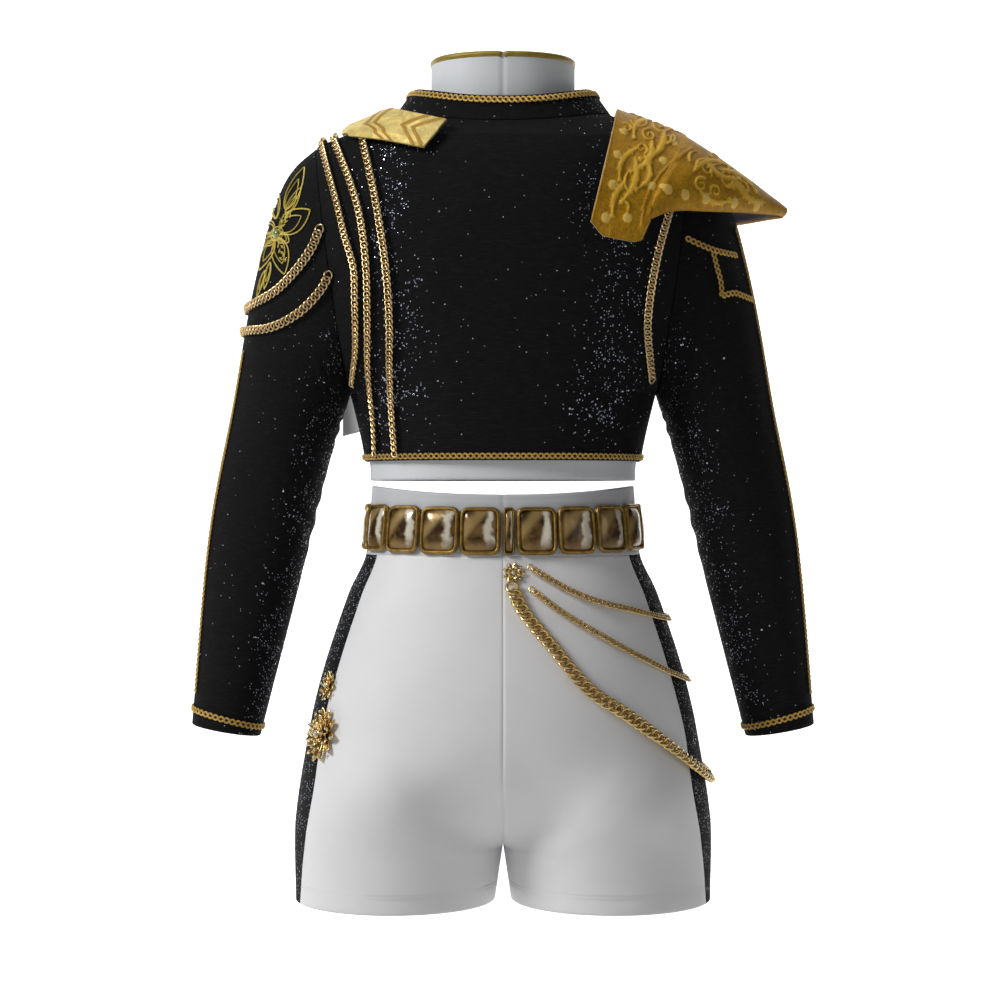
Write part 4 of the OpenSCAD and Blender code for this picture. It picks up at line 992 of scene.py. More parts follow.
# ---- Neck zip ----
for side, part in ((-1, "left"), (1, "right")):
    low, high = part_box("neck_zip_tapes")
    zip_y, top_z = low.y / MM, high.z / MM
    x = np.linspace(-3, 3, 9) + 4 * side
    z = np.linspace(low.z / MM, top_z, 40)
    gx, gz = np.meshgrid(x[::-1], z)
    face = xyz(gx, zip_y + 0.75 + 0.12 * np.cos(gx * 3.0), gz)
    obj = slab(Bag(), face, face - np.array([0, 0.7, 0])).build("zip_tape_" + part, KNIT)
    on(obj, "top", "white_knit", *(["neck_zip_tapes"] if side > 0 else []))
    teeth = Bag()
    for z in np.arange(low.z / MM + 2, top_z - 1, 1.6):
        spine = np.array([[side * 0.5, zip_y + 1.0, z], [side * 1.9, zip_y + 1.0, z]])
        tube(teeth, spine, np.array([0, 1.0, 0]), 0.9, 0.9, sides=6, round_=True)
    on(teeth.build("zip_teeth_" + part, KNIT), "top", "white_knit")
cut(neck_piece, neck_grid, stretch=1.05)

# ---- Sleeves ----
SLEEVE_T = np.concatenate([np.linspace(1, 0.5, 90), np.linspace(0.5, 0, 110)[1:]])
SLEEVE_W = np.arange(0, 360, 3.75)
SEAM_W = 154


def sleeve_creases(w, t):
    """Soft folds: a few at the elbow's inner side, fewer at the armpit."""
    inner_side = clamp01(cos(w)) ** 1.5
    elbow = np.exp(-((t - 0.6) / 0.09) ** 2) * np.sin(t * 95 + 1.3 * sin(w)) * 0.9
    pit = np.exp(-((t - 0.27) / 0.1) ** 2) * np.sin(t * 70 + 2.1 * sin(w)) * 0.8
    return (elbow + pit) * inner_side


# How thick the sequins and the painted glints lie on a sleeve, mostly on its inner side.
def sleeve_sparkle(p, w):
    inner_side = clamp01((cos(w) - 0.25) / 0.6)
    clumps = 0.4 + 0.6 * wobble(p, 15.0, 4.0)
    fade = clamp01((230 - p[..., 2]) / 60)
    return clamp01(inner_side * clumps * fade)


for side in ("left", "right"):
    w, t = np.meshgrid(SLEEVE_W, SLEEVE_T)
    n = sleeve_n(w, t)
    outer = sleeve_pt(w, t) + (sleeve_creases(w, t) * clamp01(t * 12))[..., None] * n
    inner = outer - CLOTH * n
    mark = sleeve_sparkle(outer, w)
    if side == "left":
        outer, inner, mark = (np.roll(a[:, ::-1], 1, axis=1) for a in (flip_x(outer), flip_x(inner), mark))
    obj = slab(Bag(), outer, inner, loop=True, mark=mark).build("sleeve_cloth_" + side, BLACK)
    on_sleeve(obj, side, "black_sequin", "sleeve_" + side)
    cut(obj, closed_grid(outer), stretch=1.05)

    ws = np.arange(0, 360, 2.0)
    cuff = sided(side, sleeve_pt(ws, 0.985) + 0.3 * sleeve_n(ws, 0.985), sleeve_n(ws, 0.985))
    obj = gimp(Bag(), *cuff, 6.0, closed=True).build("cuff_gimp_" + side, BRAID)
    on_sleeve(obj, side, "gold_braid", "cuff_braid_" + side)
    ts = np.linspace(0.97, 0.3 if side == "right" else 0.56, 160)
    seam = sided(side, sleeve_pt(SEAM_W, ts) + 0.4 * sleeve_n(SEAM_W, ts), sleeve_n(SEAM_W, ts))
    obj = gimp(Bag(), *seam, 4.8, period=4.6).build("seam_gimp_" + side, BRAID)
    on_sleeve(obj, side, "gold_braid", "seam_braid_" + side)


# ---- Chains on the jacket ----
CHAIN_W, CHAIN_WIRE, CHAIN_PITCH = 8.4, 1.65, 5.3
CHAIN_OUTER = [
    (0, (-131, 95)), (0.13, (-127, 122)), (0.33, (-127, 165)), (0.48, (-128, 192)),
    (0.63, (-136, 220)), (0.76, (-142, 245)), (0.89, (-149, 270)), (1, (-160, 309)),
]
CHAIN_MIDDLE = [
    (0, (-111, 34)), (0.12, (-112, 60)), (0.28, (-116, 104)), (0.46, (-116, 148)),
    (0.63, (-117, 194)), (0.77, (-122, 233)), (0.9, (-132, 268)), (1, (-150, 313)),
]
CHAIN_INNER = [
    (0, (-93, 33)), (0.12, (-95, 60)), (0.28, (-97, 103)), (0.46, (-97, 147)),
    (0.63, (-100, 191)), (0.77, (-106, 232)), (0.9, (-113, 268)), (1, (-126, 323)),
]
ARMHOLE_ROUTE = [
    (0, (129, 98)), (0.2, (124, 135)), (0.4, (125, 160)), (0.6, (129, 187)), (0.8, (135, 214)), (1, (143, 242)),
]


def eased(n):
    return 1 - (1 - np.linspace(0, 1, n + 1)) ** 2


def over_shoulder(route, n=150):
    flat = track(route, eased(n))
    back = on_jacket(flat[:-1, 0], flat[:-1, 1], np.zeros(n, bool))
    front = on_jacket(flat[:-1, 0], flat[:-1, 1], np.ones(n, bool))[::-1]
    top = xyz(-wide_at(flat[-1:, 1], np.zeros(1, bool)), 0, flat[-1:, 1])
    path = np.concatenate([back, top, front])
    normals = jacket_grad(path)
    return path + 0.7 * normals, normals


for name, route in (("outer", CHAIN_OUTER), ("middle", CHAIN_MIDDLE), ("inner", CHAIN_INNER)):
    path, normals = over_shoulder(route)
    obj = curb_chain(Bag(), path, normals, CHAIN_W, CHAIN_WIRE, CHAIN_PITCH).build("curb_chain_" + name, CHAIN)
    on(obj, "top", "gold_chain", "shoulder_chain_" + name)

flat = track(ARMHOLE_ROUTE, np.linspace(0, 1, 120))
path = on_jacket(flat[:, 0], flat[:, 1], np.zeros(120, bool))
normals = jacket_grad(path)
obj = curb_chain(Bag(), path + 0.7 * normals, normals, 7.4, CHAIN_WIRE, 5.0).build("curb_chain_armhole", CHAIN)
on(obj, "top", "gold_chain", "armhole_chain")


def round_arm(route, front=True, n=90, lift=0.8):
    flat = track(route, eased(n) if front else np.linspace(0, 1, n))
    w, t = sleeve_wt(flat, False)
    if front:
        w2, t2 = sleeve_wt(flat, True)
        w = np.concatenate([w[:-1], [180.0], w2[:-1][::-1]])
        t = np.concatenate([t, t2[:-1][::-1]])
    normals = sleeve_n(w, t)
    return sleeve_pt(w, t) + lift * normals, normals


SWAG_UPPER = [(0, (158, 226)), (0.3, (167, 207)), (0.55, (183, 187)), (0.8, (203, 171)), (1, (229, 161))]
SWAG_LOWER = [(0, (150, 186)), (0.3, (160, 171)), (0.55, (178, 154)), (0.8, (204, 142)), (1, (232, 141))]
for name, route in (("upper", SWAG_UPPER), ("lower", SWAG_LOWER)):
    swag = curb_chain(Bag(), *sided("left", *round_arm(route)), CHAIN_W, CHAIN_WIRE, CHAIN_PITCH)
    obj = swag.build("sleeve_swag_" + name, CHAIN)
    on_sleeve(obj, "left", "gold_chain", "sleeve_chain_" + name)

# ---- Braids ----
gs = np.linspace(-2, 2, 400)[:-1]
path = jacket(np.abs(gs), np.full_like(gs, 0.055))
normals = jacket_n(np.abs(gs), np.full_like(gs, 0.055))
flip = (gs < 0)[:, None]
path, normals = np.where(flip, flip_x(path), path), np.where(flip, flip_x(normals), normals)
obj = gimp(Bag(), path + 0.3 * normals, normals, 5.6, closed=True).build("hem_gimp", BRAID)
on(obj, "top", "gold_braid", "hem_braid")

ts = np.arange(0, 360, 1.5)
up_step = unit(collar_pt(ts, 1.0) - collar_pt(ts, 0.6))
normals = unit(np.cross(collar_pt(ts + 2, 0.8) - collar_pt(ts - 2, 0.8), up_step))
obj = gimp(Bag(), collar_pt(ts, 0.82) + 0.4 * normals, normals, 6.4, closed=True).build("collar_gimp", BRAID)
on(obj, "top", "gold_braid", "collar_braid")

TAB_BAR = [(0, (158, 219)), (0.3, (170, 214)), (0.65, (186, 209)), (1, (206, 207))]
TAB_DROP = [(0, (183, 208)), (0.3, (186, 196)), (0.6, (190, 182)), (1, (191, 170))]
TAB_FOOT = [(0, (191, 170)), (0.4, (203, 173)), (0.7, (212, 171)), (1, (221, 169))]
bag = Bag()
for route in (TAB_BAR, TAB_DROP, TAB_FOOT):
    gimp(bag, *round_arm(route, front=False, lift=0.4), 6.0)
on_sleeve(bag.build("tab_gimp", BRAID), "right", "gold_braid", "sleeve_tab_braid")


# ---- Embroidered flower on the left upper arm ----
FLOWER_X, FLOWER_Z = 199, 226
# Petals: turn from the outer side, length, half width, distance of the foot from the centre
PETALS = [
    (150, 33, 10.5, 3), (112, 42, 6.5, 22), (119, 27, 4.2, 18), (217, 12, 4.6, 3), (258, 34, 8.0, 4),
    (84, 34, 5.0, 14), (40, 20, 6.0, 4), (322, 12, 4.6, 3), (300, 30, 6.0, 5), (283, 24, 2.6, 26), (289, 24, 2.2, 34),
]
SEEDS = [(126, 7, 21), (254, 9, 26)]


def on_flower(x, y, lift):
    """Place x outwards and y up from the flower's centre, wrapped round the arm's outer side."""
    flat = np.column_stack([FLOWER_X + np.asarray(x, float), FLOWER_Z + np.asarray(y, float)])
    _, t = sleeve_wt(flat, False)
    o, i = track(SLEEVE_OUT, t), track(SLEEVE_IN, t)
    f = ((flat - i) * (o - i)).sum(1) / ((o - i) ** 2).sum(1)
    w = np.degrees(np.arccos(1 - 2 * clamp01(np.where(f > 1, 2 - f, f))))
    w = np.where(f > 1, 360 - w, w)
    n = sleeve_n(w, t)
    return flip_x(sleeve_pt(w, t) + lift * n), flip_x(n)


def petal_line(turn, length, half_width, start, n=30):
    """Outline of one pointed petal, from its foot out to the tip and back."""
    s = np.concatenate([np.linspace(0, 1, n), np.linspace(1, 0, n)[1:]])
    side = np.concatenate([np.ones(n), -np.ones(n - 1)])
    out = start + s * length
    width = half_width * np.sin(math.pi * s ** 0.8) ** 0.8 * side
    a = math.radians(turn)
    return out * math.cos(a) - width * math.sin(a), out * math.sin(a) + width * math.cos(a)


def sew(bag, x, y, w, **options):
    line, n = on_flower(x, y, 0.2)
    return tube(bag, line, n, w, 1.3, sides=7, mark=1.0, **options)


bag = Bag()
for turn, length, half_width, start in PETALS:
    sew(bag, *petal_line(turn, length, half_width, start), 1.5)
    sew(bag, *petal_line(turn, length * 0.68, half_width * 0.62, start + 1), 1.1)
for turn, low, high in SEEDS:
    for k, out in enumerate(np.linspace(low, high, 8)):
        a, across = math.radians(turn), 2.0 * math.sin(k * 2.4)
        b = a + (0.5 if k % 2 else -0.5)
        step = np.array([-2.0, 0, 2.0])
        x = out * math.cos(a) - across * math.sin(a) + step * math.cos(b)
        y = out * math.sin(a) + across * math.cos(a) + step * math.sin(b)
        sew(bag, x, y, np.array([0.8, 2.6, 0.8]))
ring = np.linspace(0, 360, 49)[:-1]
sew(bag, 6.2 * cos(ring), 6.2 * sin(ring), 1.3, closed=True)
on_sleeve(bag.build("flower_stitching", EMBROIDERY), "left", "gold_braid", "flower_embroidery")


def dome(bag, centre, normal, across, radius_x, radius_y, height, rings=7, sides=24, square=2.0):
    """Domed stone or stud on a flat foot; square above 2 makes it a rounded square."""
    normal = unit(np.asarray(normal, float))
    across = unit(across - (across * normal).sum() * normal)
    up = np.cross(normal, across)
    a = np.arange(sides) * 360 / sides
    lay = np.linspace(0, 90, rings)
    r, h = cos(lay[:-1])[:, None], sin(lay[:-1])[:, None]
    x = spow(cos(a), 2 / square)[None] * r
    y = spow(sin(a), 2 / square)[None] * r
    points = centre + x[..., None] * radius_x * across + y[..., None] * radius_y * up
    points = points + (h * height + 0 * x)[..., None] * normal
    uv = np.stack([x, y], -1)
    quads = grid_quads(rings - 1, sides, loop=True)
    apex = (rings - 1) * sides
    last = (rings - 2) * sides
    k = np.arange(sides)
    tris = np.stack([last + k, last + (k + 1) % sides, np.full(sides, apex)], -1)
    foot = np.stack([(k + 1) % sides, k, np.full(sides, apex + 1)], -1)
    points = np.concatenate([points.reshape(-1, 3), [centre + height * normal], [centre]])
    uv = np.concatenate([uv.reshape(-1, 2), [[0, 0]], [[0, 0]]])
    bag.add(points, quads, np.concatenate([tris, foot]), uv=uv)
    return bag


Z_AXIS = np.array([0, 0, 1.0])
centre, n = on_flower(np.array([0.0]), np.array([0.0]), 0.6)
obj = dome(Bag(), centre[0], n[0], Z_AXIS, 4.6, 4.6, 3.6, rings=8).build("flower_jewel", GREEN_STONE)
on_sleeve(obj, "left", "gold_jewel", "flower_stone")


# ---- Sequins: small discs, thick in the bands and scattered elsewhere ----
BACK_SEQUINS, SLEEVE_SEQUINS, STRIPE_SEQUINS = 620, 330, 110
SEQUIN_R, SEQUIN_SIDES, SEQUIN_LIFT = 0.85, 7, 0.35


def discs(places, normals, name):
    bag = Bag()
    k = np.arange(SEQUIN_SIDES)
    a = k * 360 / SEQUIN_SIDES
    for p, n in zip(places, normals):
        tilt = np.array([rng.uniform(-0.5, 0.5) for _ in range(3)])
        n = unit(n + tilt * 0.55)
        x = unit(np.cross(n, Z_AXIS + 0.01))
        y = np.cross(n, x)
        r = SEQUIN_R * rng.uniform(0.55, 1.15)
        ring = p + r * (cos(a)[:, None] * x + sin(a)[:, None] * y)
        points = np.concatenate([ring, [p + 0.22 * n]])
        bag.add(points, tris=np.stack([k, (k + 1) % SEQUIN_SIDES, np.full(SEQUIN_SIDES, SEQUIN_SIDES)], -1))
    return bag.build(name, SEQUIN)


places = []
while len(places) < BACK_SEQUINS:
    g = rng.uniform(-1, 1)
    v = rng.uniform(0.1, 2.9)
    p = jacket(np.array([abs(g)]), np.array([v]))[0] * ([1, 1, 1] if g > 0 else [-1, 1, 1])
    if rng.random() < 0.008 + sparkle_bands(p[None])[0]:
        places.append(p)
places = np.array(places)
normals = jacket_grad(places)
on(discs(places + SEQUIN_LIFT * normals, normals, "sequins_back"), "top", "black_sequin")

for side in ("left", "right"):
    found = []
    while len(found) < SLEEVE_SEQUINS:
        w, t = rng.uniform(0, 360), rng.uniform(0.08, 0.98)
        p = sleeve_pt(w, t)
        if rng.random() < 0.012 + sleeve_sparkle(p[None], np.array([w]))[0]:
            found.append((w, t))
    w, t = np.array(found).T
    n = sleeve_n(w, t)
    p = sleeve_pt(w, t) + SEQUIN_LIFT * n
    on_sleeve(discs(*sided(side, p, n), "sequins_sleeve_" + side), side, "black_sequin")


# ---- Epaulette ----
EPAULETTE_UP = [(0, (-143, 314)), (0.5, (-103, 329)), (0.75, (-76, 322)), (1, (-48, 315))]
EPAULETTE_LOW = [(0, (-142, 308)), (0.5, (-100, 299)), (0.75, (-84, 295)), (1, (-67, 291))]


EPAULETTE_START = 0.035


def epaulette_pt(s, q):
    s, q = np.broadcast_arrays(np.asarray(s, float), np.asarray(q, float))
    p = mix(track(EPAULETTE_UP, s), track(EPAULETTE_LOW, s), q[..., None])
    return on_jacket(p[..., 0], p[..., 1], np.zeros(s.shape, bool))


def epaulette_droop(s):
    """How far the outer end hangs down from the rest of the flap."""
    return 3.2 * clamp01(1 - s / 0.12)


def epaulette_marks(s, q):
    """Figured bands: two pairs of chevrons, and small woven lozenges between."""
    lean = s - 0.36 * np.abs(q - 0.5)
    bands = np.zeros_like(lean)
    for tip in (0.3, 0.4, 0.69, 0.79):
        bands = np.maximum(bands, clamp01(2.2 - np.abs(lean - tip) / 0.015))
    lozenge = clamp01(np.sin(s * 150) * np.sin(q * 34) * 3 - 1.7) * 0.35
    return np.maximum(np.minimum(bands, 1), lozenge * ((lean > 0.44) & (lean < 0.62)))


s, q = np.meshgrid(np.linspace(EPAULETTE_START, 1, 130), np.linspace(1, 0, 60))
surface = epaulette_pt(s, q)
out = jacket_grad(surface)
mark = epaulette_marks(s, q)
drift = 0.5 * wobble(surface, 16.0, 1.2) * np.sin(q * math.pi)
drift = drift - epaulette_droop(s)
cover = surface + (7.6 + mark * 0.45 + drift)[..., None] * out
low = surface + (6.6 + drift)[..., None] * out
obj = slab(Bag(), cover, low, mark=mark).build("epaulette_cloth", PALE)
on(obj, "epaulette", "pale_gold_brocade", "epaulette_cover", "epaulette_chevrons")
cut(obj, cover)
lining = surface + (6.3 + drift)[..., None] * out
obj = slab(Bag(), lining, surface + (5.2 + drift)[..., None] * out).build("epaulette_back_cloth", PALE_LINING)
on(obj, "epaulette", "cape_lining", "epaulette_lining")
cut(obj, lining)
edge_s = np.linspace(EPAULETTE_START, 1, 70)
edge_s = np.concatenate([edge_s, np.ones(18), np.linspace(1, EPAULETTE_START, 70)])
edge_q = np.concatenate([np.ones(70), np.linspace(1, 0, 20)[1:-1], np.zeros(70)])
line = epaulette_pt(edge_s, edge_q)
n = jacket_grad(line)
line = line + (6.7 - epaulette_droop(edge_s))[:, None] * n
stitch = tube(Bag(), line, n, 1.5, 1.5, sides=8, round_=True)
on(stitch.build("epaulette_piping", SATIN), "epaulette", "gold_braid")

# ---- Cape ----
DOT_R = 4.2
CAPE_DOTS = [
    (0.05, 0.45), (0.05, 0.62), (0.07, 0.78), (0.09, 0.93), (0.2, 0.9), (0.26, 0.72), (0.27, 0.55),
    (0.3, 0.38), (0.42, 0.8), (0.52, 0.86), (0.64, 0.86), (0.77, 0.84), (0.86, 0.8),
]


def spiral(x, z, radius, turns, start, hand, n=36):
    """Scroll that winds in towards its eye, as x, z and half width."""
    k = np.linspace(0, 1, n)
    r = radius * (1 - 0.86 * k)
    a = start + hand * 360 * turns * k
    return np.stack([x + r * cos(a), z + r * sin(a), mix(2.1, 0.9, k)], -1)


def leaf(x0, z0, x1, z1, bend, width, n=40):
    """Tapered leaf from one place to another, bowed to one side."""
    k = np.linspace(0, 1, n)
    a, b = np.array([x0, z0], float), np.array([x1, z1], float)
    side = np.array([-(b - a)[1], (b - a)[0]])
    p = a + np.outer(k, b - a) + np.outer(np.sin(k * math.pi) * bend, side)
    lobes = 0.76 + 0.24 * np.abs(np.sin(k * math.pi * 6))
    return np.column_stack([p, width * lobes * np.sin(math.pi * k ** 0.7) + 0.35])


# Two sprays of acanthus scrollwork, placed on the back of the cape in x and z
SPRAYS = [
    spiral(119, 322, 9, 1.4, 200, 1), spiral(137, 318, 8.5, 1.35, 330, -1), spiral(126, 305, 7, 1.3, 90, 1),
    spiral(143, 303, 6, 1.25, 40, -1), spiral(106, 311, 5, 1.2, 120, -1), spiral(118, 291, 5.5, 1.2, 300, 1),
    leaf(112, 330, 150, 312, 0.25, 2.6), leaf(132, 325, 112, 298, -0.25, 2.8), leaf(140, 312, 112, 280, 0.22, 3.2),
    leaf(128, 300, 104, 268, 0.2, 3.4), leaf(116, 292, 98, 258, -0.2, 2.8), leaf(112, 284, 96, 240, 0.16, 3.4),
    leaf(104, 262, 92, 228, -0.14, 3.0), leaf(120, 285, 108, 252, 0.3, 2.4), leaf(106, 270, 112, 248, -0.3, 2.2),
    leaf(98, 246, 104, 232, 0.3, 2.2), leaf(146, 308, 132, 296, 0.3, 2.2), leaf(150, 314, 160, 306, 0.3, 1.8),
    spiral(174, 277, 9, 1.5, 180, -1), spiral(194, 268, 9, 1.5, 20, 1), spiral(183, 290, 5.5, 1.3, 270, 1),
    spiral(207, 262, 6, 1.3, 100, -1), spiral(168, 262, 6, 1.3, 60, 1), spiral(181, 258, 5, 1.2, 200, -1),
    leaf(162, 272, 200, 280, 0.22, 2.8), leaf(172, 286, 208, 270, -0.2, 2.6), leaf(186, 276, 222, 258, 0.18, 3.0),
    leaf(166, 258, 196, 254, -0.2, 2.4), leaf(198, 272, 228, 254, -0.2, 2.4), leaf(178, 268, 190, 282, 0.3, 2.2),
    leaf(160, 280, 168, 292, 0.3, 2.0), leaf(190, 262, 214, 252, 0.25, 2.2),
]


def fronds(curve, count=4):
    """Small leaflets to both sides of a leaf."""
    found = []
    for k in np.linspace(0.12, 0.9, count):
        i = int(k * (len(curve) - 2))
        step = curve[i + 1, :2] - curve[i, :2]
        along = math.atan2(step[1], step[0])
        for hand in (-1, 1):
            a = along + hand * 0.7
            reach = 6.4 * (1 - 0.5 * k)
            x, z = curve[i, 0], curve[i, 1]
            found.append(leaf(x, z, x + reach * math.cos(a), z + reach * math.sin(a), -0.3 * hand, 2.1, 14))
    return found


def near(points, curves):
    """Height between 0 and 1 of rounded ridges along curves, at flat places."""
    height = np.zeros(len(points))
    for curve in curves:
        reach = curve[:, 2].max()
        low, high = curve[:, :2].min(0) - reach, curve[:, :2].max(0) + reach
        inside = np.nonzero(((points > low) & (points < high)).all(1))[0]
        if not len(inside):
            continue
        gap = np.linalg.norm(points[inside, None] - curve[None, :, :2], axis=2) / curve[None, :, 2]
        height[inside] = np.maximum(height[inside], np.sqrt(np.clip(1 - gap.min(1) ** 2, 0, 1)))
    return height


for curve in list(SPRAYS):
    long = np.linalg.norm(curve[-1, :2] - curve[0, :2]) > 24
    curve[:, 2] *= 1.1 if long else 0.75
    if long:
        SPRAYS += fronds(curve)
CREASE_W = 1.6
CREASE = np.array(
    [(x, z, CREASE_W) for x, z in ((164, 296), (150, 283), (134, 268), (124, 254), (119, 240), (117, 224))], float
)


def dense(curve, n=120):
    k = np.linspace(0, len(curve) - 1, n)
    return np.stack([np.interp(k, np.arange(len(curve)), curve[:, c]) for c in range(curve.shape[1])], -1)


def cape_dots():
    return [
        (cape_pt(r, sign * q), cape_n(r, np.clip(sign * q, -0.98, 0.98))) for r, q in CAPE_DOTS for sign in (-1, 1)
    ]


def cape_relief(p, q):
    """Height of the woven figure and of the crease at places on the cape, and its mark."""
    flat = p[..., [0, 2]].reshape(-1, 2)
    figure = near(flat, SPRAYS).reshape(p.shape[:-1]) ** 1.5
    figure = figure * (0.92 + 0.08 * np.sin(p[..., 0] * 1.9 + p[..., 2] * 1.3))
    crease = near(flat, [dense(CREASE)]).reshape(p.shape[:-1])
    edge = clamp01((1 - np.abs(q)) * 14)
    mark = figure * 0.95
    height = figure * 1.5 * edge + crease * 0.7 + 0.5 * wobble(p, 18.0, 3.1) * edge
    for centre, _ in cape_dots():
        gap = np.linalg.norm(p - centre, axis=-1)
        pad = np.sqrt(np.clip(1 - (gap / DOT_R) ** 2, 0, 1))
        height = np.maximum(height, pad)
        mark = np.where(gap < DOT_R, np.maximum(mark, 2.0), mark)
    return height, mark


r, q = np.meshgrid(np.linspace(0, 1, 215), np.linspace(-1, 1, 290))
surface = cape_pt(r, q)
out = cape_n(r, q)
relief, mark = cape_relief(surface, q)
cover = surface + (4.0 + relief)[..., None] * out
lows = surface + 3.1 * out
obj = slab(Bag(), cover, lows, mark=mark).build("cape_brocade", CAPE)
on(obj, "cape", "gold_brocade", "cape_cover", "cape_studs")
cut(obj, surface)

r, q = np.meshgrid(np.linspace(0, 1, 90), np.linspace(-1, 1, 110))
surface, out = cape_pt(r, q), cape_n(r, q)
core = surface + 2.9 * out
obj = slab(Bag(), core, surface + 1.1 * out).build("cape_stiffening", CANVAS)
on(obj, "cape", "stiffener", "cape_core")
cut(obj, surface)
under = surface + 0.9 * out
obj = slab(Bag(), under, surface).build("cape_underside", LINING)
on(obj, "cape", "cape_lining", "cape_lining")
cut(obj, surface)
edge_r = np.concatenate([np.linspace(0, 1, 160), np.ones(58), np.linspace(1, 0, 160), np.zeros(88)])
edge_q = np.concatenate([-np.ones(160), np.linspace(-1, 1, 60)[1:-1], np.ones(160), np.linspace(1, -1, 90)[1:-1]])
line, n = cape_pt(edge_r, edge_q), cape_n(edge_r, np.clip(edge_q, -0.985, 0.985))
line, n = evenly(line + 2.4 * n, n, 1.5, closed=True)
obj = tube(Bag(), line, n, 1.2, 3.9, sides=12, closed=True, round_=True).build("cape_rolled_edge", CAPE)
on(obj, "cape", "gold_brocade")

# ---- Drape under the left of the chest ----
DRAPE_TOP, DRAPE_LOW = 214, 52
s, q = np.meshgrid(np.linspace(1, 0, 110), np.linspace(0, 1, 120))
x = mix(-152, -62, s)
z = mix(mix(DRAPE_LOW, DRAPE_LOW + 26, s), DRAPE_TOP, q)
fold = 2.6 * np.sin(s * 17 + 0.7 * np.sin(q * 5)) * (1 - 0.7 * q)
surface = xyz(x, 129.5 - 0.0013 * (x + 62) ** 2 - 4 * q + fold, z)
ahead = np.array([0, 1.0, 0])
ornament = clamp01(np.sin(x / 4.2) * np.sin(z / 5.1 + 1.5 * np.sin(x / 9)) * 3 - 0.9)
cover = surface + (2.4 + 0.5 * ornament)[..., None] * ahead
obj = slab(Bag(), cover, surface + 1.4 * ahead, mark=ornament).build("drape_brocade", CAPE)
on(obj, "drape", "gold_brocade", "drape_cover")
cut(obj, surface)
obj = slab(Bag(), surface + 1.2 * ahead, surface).build("drape_back_cloth", PALE_LINING)
on(obj, "drape", "cape_lining", "drape_lining")
cut(obj, surface)


# ---- Shorts ----
def drop_rows():
    fine = np.concatenate([np.linspace(HEM_DROP, CROTCH_DROP + 0.8, 26), np.linspace(CROTCH_DROP - 0.6, 240, 46)])
    return np.concatenate([fine, np.linspace(238, BAND_H + 0.4, 90)])


def shorts_tone(p, u, d):
    """Shallow drag lines of stretched cloth: under the seat, at the crotch and by the band."""
    seat = np.exp(-((d - 296) / 22) ** 2) * np.sin(u * 30 + d * 0.11) * clamp01((0.4 - u) * 5) * 0.5
    crotch = np.exp(-((d - CROTCH_DROP) / 26) ** 2) * np.exp(-(u / 0.13) ** 2) * np.sin(d * 0.55 + u * 25) * 0.12
    band = np.exp(-((d - BAND_H) / 16) ** 2) * np.sin(u * 62 + 0.4) * 0.22
    soft = 0.45 * wobble(p, 42.0, 5.0)
    return seat + crotch + band + soft


STITCH_ROWS = (HEM_DROP - 14, HEM_DROP - 17)
HEM_TURNED = 16


def hem_groove(d):
    """The line of twin stitching above the turned-up hem."""
    return 0.16 * sum(np.exp(-((d - row) / 0.9) ** 2) for row in STITCH_ROWS)


def piece_u(piece, s, d):
    """Place s of the way across a piece: 0 back, 1 side stripe, 2 front."""
    edge = track(STRIPE_BACK, d)
    low = (0, edge, STRIPE_TO + 0.001)[piece]
    return mix(low, (edge - 0.001, STRIPE_TO, 1)[piece], s)


def shorts_cloth(name, piece, cols, side, material, slot, node, sparkle=False):
    s, d = np.meshgrid(np.linspace(0, 1, cols), drop_rows())
    u = piece_u(piece, s, d)
    p, n = shorts_pt(u, d), shorts_n(u, d)
    rim = np.minimum(s, 1 - s)
    fade = clamp01(rim * 9) * clamp01((HEM_DROP - d) / 9 + 0.15)
    outer = p + ((shorts_tone(p, u, d) * fade) - hem_groove(d))[..., None] * n
    inner = p - CLOTH * n
    outer[..., 0] = np.maximum(outer[..., 0], SEAM_GAP * 0.25)
    inner[..., 0] = np.maximum(inner[..., 0], SEAM_GAP * 0.25)
    mark = None
    # On the stripe, mark sets how thick the painted glints lie in the black knit.
    if sparkle:
        mark = clamp01(0.55 + 0.4 * wobble(p, 9.0, 1.0))
    if side == "left":
        outer, inner = mirror_grids(outer, inner)
        mark = None if mark is None else mark[:, ::-1]
    obj = slab(Bag(), outer, inner, mark=mark).build(name, material)
    on(obj, SHORTS_BODY, slot, node)
    return cut(obj, outer, stretch=1.08)


